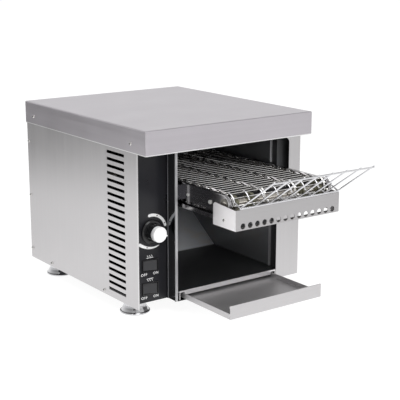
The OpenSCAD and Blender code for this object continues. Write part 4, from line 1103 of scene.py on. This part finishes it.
class TOASTER_OT_heaters(bpy.types.Operator):
    """Quartz tubes with a coil in each, and their ceramic caps"""

    bl_idname = "toaster.heaters"
    bl_label = "Heaters"

    def execute(self, context):
        dress("ceramic", "element_caps", edge=0.5 * MM, segments=3)
        for node, tubes in (("top_elements", 4), ("low_elements", 3)):
            low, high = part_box(node)
            radius = (high.z - low.z) / 2
            glass, coils = bmesh.new(), bmesh.new()
            for k in range(tubes):
                y = low.y + radius + (high.y - low.y - 2 * radius) * k / (tubes - 1)
                ends = [Vector((x, y, low.z + radius)) for x in (low.x, high.x)]
                self.tube(glass, *ends, radius)
                self.coil(coils, *ends, radius * COIL_SHARE)
            new_piece(f"{node}_glass", glass, "quartz", [node])
            new_piece(f"{node}_coils", coils, "coil_wire")
        return {"FINISHED"}

    def tube(self, work, start, end, radius):
        """Tube that is open at both ends."""
        bore = radius - TUBE_WALL
        corners = ((start, bore), (start, radius), (end, radius), (end, bore))
        loft(work, [ring(place, r, TUBE_SIDES) for place, r in corners], closed=True)

    def coil(self, work, start, end, radius):
        """Coil of resistance wire with straight ends."""
        turns = int((end.x - start.x - 2 * COIL_INSET) / COIL_PITCH)
        path = [start + ACROSS * COIL_TAIL]
        for k in range(turns * COIL_STEPS + 1):
            along = start + ACROSS * (COIL_INSET + COIL_PITCH * k / COIL_STEPS)
            path.append(around(along, radius, TURN * k / COIL_STEPS))
        path.append(end - ACROSS * COIL_TAIL)
        sweep(work, path, COIL_WIRE, 5)


class TOASTER_OT_drive(bpy.types.Operator):
    """Motor, chain, fan and supply parts in the control bay"""

    bl_idname = "toaster.drive"
    bl_label = "Drive and supply"

    def execute(self, context):
        dress("motor_paint", "gearmotor", edge=1.2 * MM, segments=3)
        dress("plated_steel", "motor_bracket")
        dress("bright_bar", "motor_shaft", edge=0.3 * MM)
        dress("sprocket_iron", "drive_sprocket", "motor_sprocket", edge=0.2 * MM)
        dress("chain_steel", "drive_chain", edge=0.08 * MM, segments=1)
        dress("fan_plastic", "fan_frame", edge=0.5 * MM)
        dress("fan_plastic", "fan_rotor", edge=0.3 * MM)
        dress("black_plastic", "cord_gland", edge=0.5 * MM, segments=3)
        dress("white_plastic", "terminal_block", edge=0.6 * MM)
        return {"FINISHED"}


class TOASTER_OT_feet(bpy.types.Operator):
    """Chrome on the four feet"""

    bl_idname = "toaster.feet"
    bl_label = "Feet"

    def execute(self, context):
        feet = [f"{end}_{side}_foot" for side in ("left", "right") for end in ("front", "rear")]
        dress("foot_chrome", *feet, edge=0.4 * MM, segments=3)
        return {"FINISHED"}


class TOASTER_OT_screws(bpy.types.Operator):
    """Plated steel on the screws, painted shade in their cross recesses, and more screws at the rear edges
    """

    bl_idname = "toaster.screws"
    bl_label = "Screws"

    def execute(self, context):
        dress("screw_steel", "cover_screws", "cabinet_screws", "back_screws")
        low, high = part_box("left_side_panel")
        heads, slots = bmesh.new(), bmesh.new()
        for outward in (-ACROSS, ACROSS):
            for z in EDGE_SCREWS:
                place = outward * abs(low.x) + BACK * (high.y - EDGE_SCREW_IN) + UP * z
                self.head(heads, place, outward)
                self.cross(slots, place + outward * HEAD_RISE, outward)
        for node in ("cover_screws", "cabinet_screws"):
            for place, outward in self.tops(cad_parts[node].data):
                self.cross(slots, place, outward)
        new_piece("rear_edge_screws", heads, "screw_steel")
        # painted shade: dark bars for the shade inside each cross recess
        new_piece("screw_recesses", slots, "black_ink", smooth=False)
        return {"FINISHED"}

    def head(self, work, place, outward):
        """Domed screw head on a side panel."""
        sections = []
        for k in range(HEAD_STEPS):
            a = HEAD_TOP * k / (HEAD_STEPS - 1)
            top = place + outward * HEAD_RISE * math.sin(a)
            sections.append(ring(top, HEAD_RADIUS * math.cos(a), HEAD_SIDES))
        loft(work, sections)

    def cross(self, work, place, outward):
        """Painted shade of a cross recess: two dark bars just over the top of a head."""
        for angle in (RECESS_TURN, RECESS_TURN + math.pi / 2):
            along = around(Vector(), RECESS_REACH, angle)
            ribbon(work, [place - along, place + along], RECESS_STROKE, RECESS_DEPTH, outward)

    def tops(self, mesh):
        """Middle of the outer end of each screw in a node, and the direction that it faces."""
        work = bmesh.new()
        work.from_mesh(mesh)
        bmesh.ops.remove_doubles(work, verts=work.verts, dist=SAME_PLACE)
        taken, found = set(), []
        for first in work.verts:
            if first in taken:
                continue
            screw = [first]
            taken.add(first)
            for vert in screw:  # the list grows until it holds the whole screw
                near = [e.other_vert(vert) for e in vert.link_edges]
                screw += [v for v in near if v not in taken]
                taken.update(near)
            side = 1 if sum(v.co.x for v in screw) > 0 else -1
            reach = max(side * v.co.x for v in screw)
            cap = [v.co for v in screw if side * v.co.x > reach - 0.01 * MM]
            found.append((sum(cap, Vector()) / len(cap), ACROSS * side))
        work.free()
        return found


class TOASTER_OT_stage(bpy.types.Operator):
    """White floor, softboxes and the camera"""

    bl_idname = "toaster.stage"
    bl_label = "Stage"

    def execute(self, context):
        scene, stage = context.scene, context.scene.toaster_stage
        self.floor(stage)
        self.world(scene)
        for name, place, width, setting, mirrored in SOFTBOXES:
            self.softbox(name, place, width, getattr(stage, setting), mirrored)
        self.camera(scene, stage)
        scene.view_settings.view_transform = "Standard"
        return {"FINISHED"}

    def floor(self, stage):
        """Plain floor: white to the lens, paler near the toaster than far off to mirrors, and shadowed."""
        work = bmesh.new()
        bmesh.ops.create_grid(work, x_segments=1, y_segments=1, size=FLOOR_REACH)
        finish = Finish("floor", base_color=tuple(stage.floor), roughness=0.8)
        away = finish.vector("LENGTH", finish.place(), (0, 0, 0), "Value")
        left = (finish.axis("X") * -1).between(0.2, 0.7)
        far = away.between(0.95, 1.7)
        ahead = away.between(0.3, 0.85) * (1 - left)
        mirrored = 1.08 + left * (0.2 - far * 1.13) - ahead * 0.3
        strength = finish.ray("Camera") * 1.14 + finish.ray("Glossy", "Transmission") * mirrored
        glow = finish.node("ShaderNodeEmission", {}, {"Color": (1.0, 1.0, 1.0), "Strength": strength})
        lit = Signal(finish, finish.shader.outputs[0])
        share_of_glow = finish.ray("Camera", "Glossy", "Transmission") * 0.82
        both = finish.node("ShaderNodeMixShader", {}, {0: share_of_glow, 1: lit, 2: glow})
        finish.feed(finish.tree.nodes["Material Output"].inputs["Surface"], both)
        put("floor", to_mesh("floor", work, smooth=False), finish)

    def world(self, scene):
        """White round to the lens, darker overhead and on the left to mirrors, and soft grey light."""
        scene.world = bpy.data.worlds.new("studio")
        scene.world.use_nodes = True
        nodes = Nodes(scene.world.node_tree)
        overhead = nodes.axis("Z", "Generated").between(0.05, 0.8)
        left = (nodes.axis("X", "Generated") * -1).between(0.1, 0.9)
        mirrored = 1 - overhead * 0.55 - left * 0.25
        seen = nodes.ray("Camera") + nodes.ray("Glossy", "Transmission") * mirrored
        plain = 1 - nodes.ray("Camera", "Glossy", "Transmission")
        background = nodes.tree.nodes["Background"]
        nodes.feed(background.inputs["Strength"], seen + plain * 0.5)
        nodes.feed(background.inputs["Color"], (1.0, 1.0, 1.0))

    def softbox(self, name, place, width, watts, mirrored):
        """Square area lamp that looks at the middle of the toaster; metal shows it if it is mirrored."""
        lamp = bpy.data.lights.new(name, "AREA")
        lamp.energy = watts
        lamp.size = width
        holder = put(name, lamp)
        holder.visible_glossy = mirrored
        holder.location = place
        holder.rotation_euler = (MODEL_MIDDLE - Vector(place)).to_track_quat("-Z", "Y").to_euler()

    def camera(self, scene, stage):
        data = bpy.data.cameras.new("camera")
        data.lens = stage.lens
        data.sensor_width = FILM_WIDTH
        data.shift_x, data.shift_y = CAMERA_SHIFT
        turn, drop = stage.azimuth, stage.drop
        look = Vector((math.cos(drop) * math.sin(turn), math.cos(drop) * math.cos(turn), -math.sin(drop)))
        scene.camera = put("camera", data)
        scene.camera.location = CAMERA_PLACE
        scene.camera.rotation_euler = look.to_track_quat("-Z", "Y").to_euler()


STEPS = (
    TOASTER_OT_stage,
    TOASTER_OT_cabinet,
    TOASTER_OT_chamber,
    TOASTER_OT_conveyor,
    TOASTER_OT_belt,
    TOASTER_OT_rack,
    TOASTER_OT_tray,
    TOASTER_OT_controls,
    TOASTER_OT_print,
    TOASTER_OT_heaters,
    TOASTER_OT_drive,
    TOASTER_OT_feet,
    TOASTER_OT_screws,
)


class TOASTER_PT_panel(bpy.types.Panel):
    """Sizes, colours and steps of the toaster"""

    bl_idname = "TOASTER_PT_panel"
    bl_label = "Conveyor toaster"
    bl_space_type = "VIEW_3D"
    bl_region_type = "UI"
    bl_category = "Toaster"

    def draw(self, context):
        for word, kind in SETTINGS.items():
            box = self.layout.box()
            box.label(text=kind.__doc__)
            for name in kind.__annotations__:
                box.prop(getattr(context.scene, word), name)
        for step in STEPS:
            self.layout.operator(step.bl_idname)


CLASSES = (*SETTINGS.values(), *STEPS, TOASTER_PT_panel)


def register():
    for kind in CLASSES:
        bpy.utils.register_class(kind)
    for word, kind in SETTINGS.items():
        setattr(bpy.types.Scene, word, PointerProperty(type=kind))


def unregister():
    for word in SETTINGS:
        delattr(bpy.types.Scene, word)
    for kind in reversed(CLASSES):
        bpy.utils.unregister_class(kind)


def main():
    register()
    FINISHES.update(make_finishes(bpy.context.scene))
    for step in STEPS:
        family, name = step.bl_idname.split(".")
        getattr(getattr(bpy.ops, family), name)()


if __name__ == "__main__":
    main()
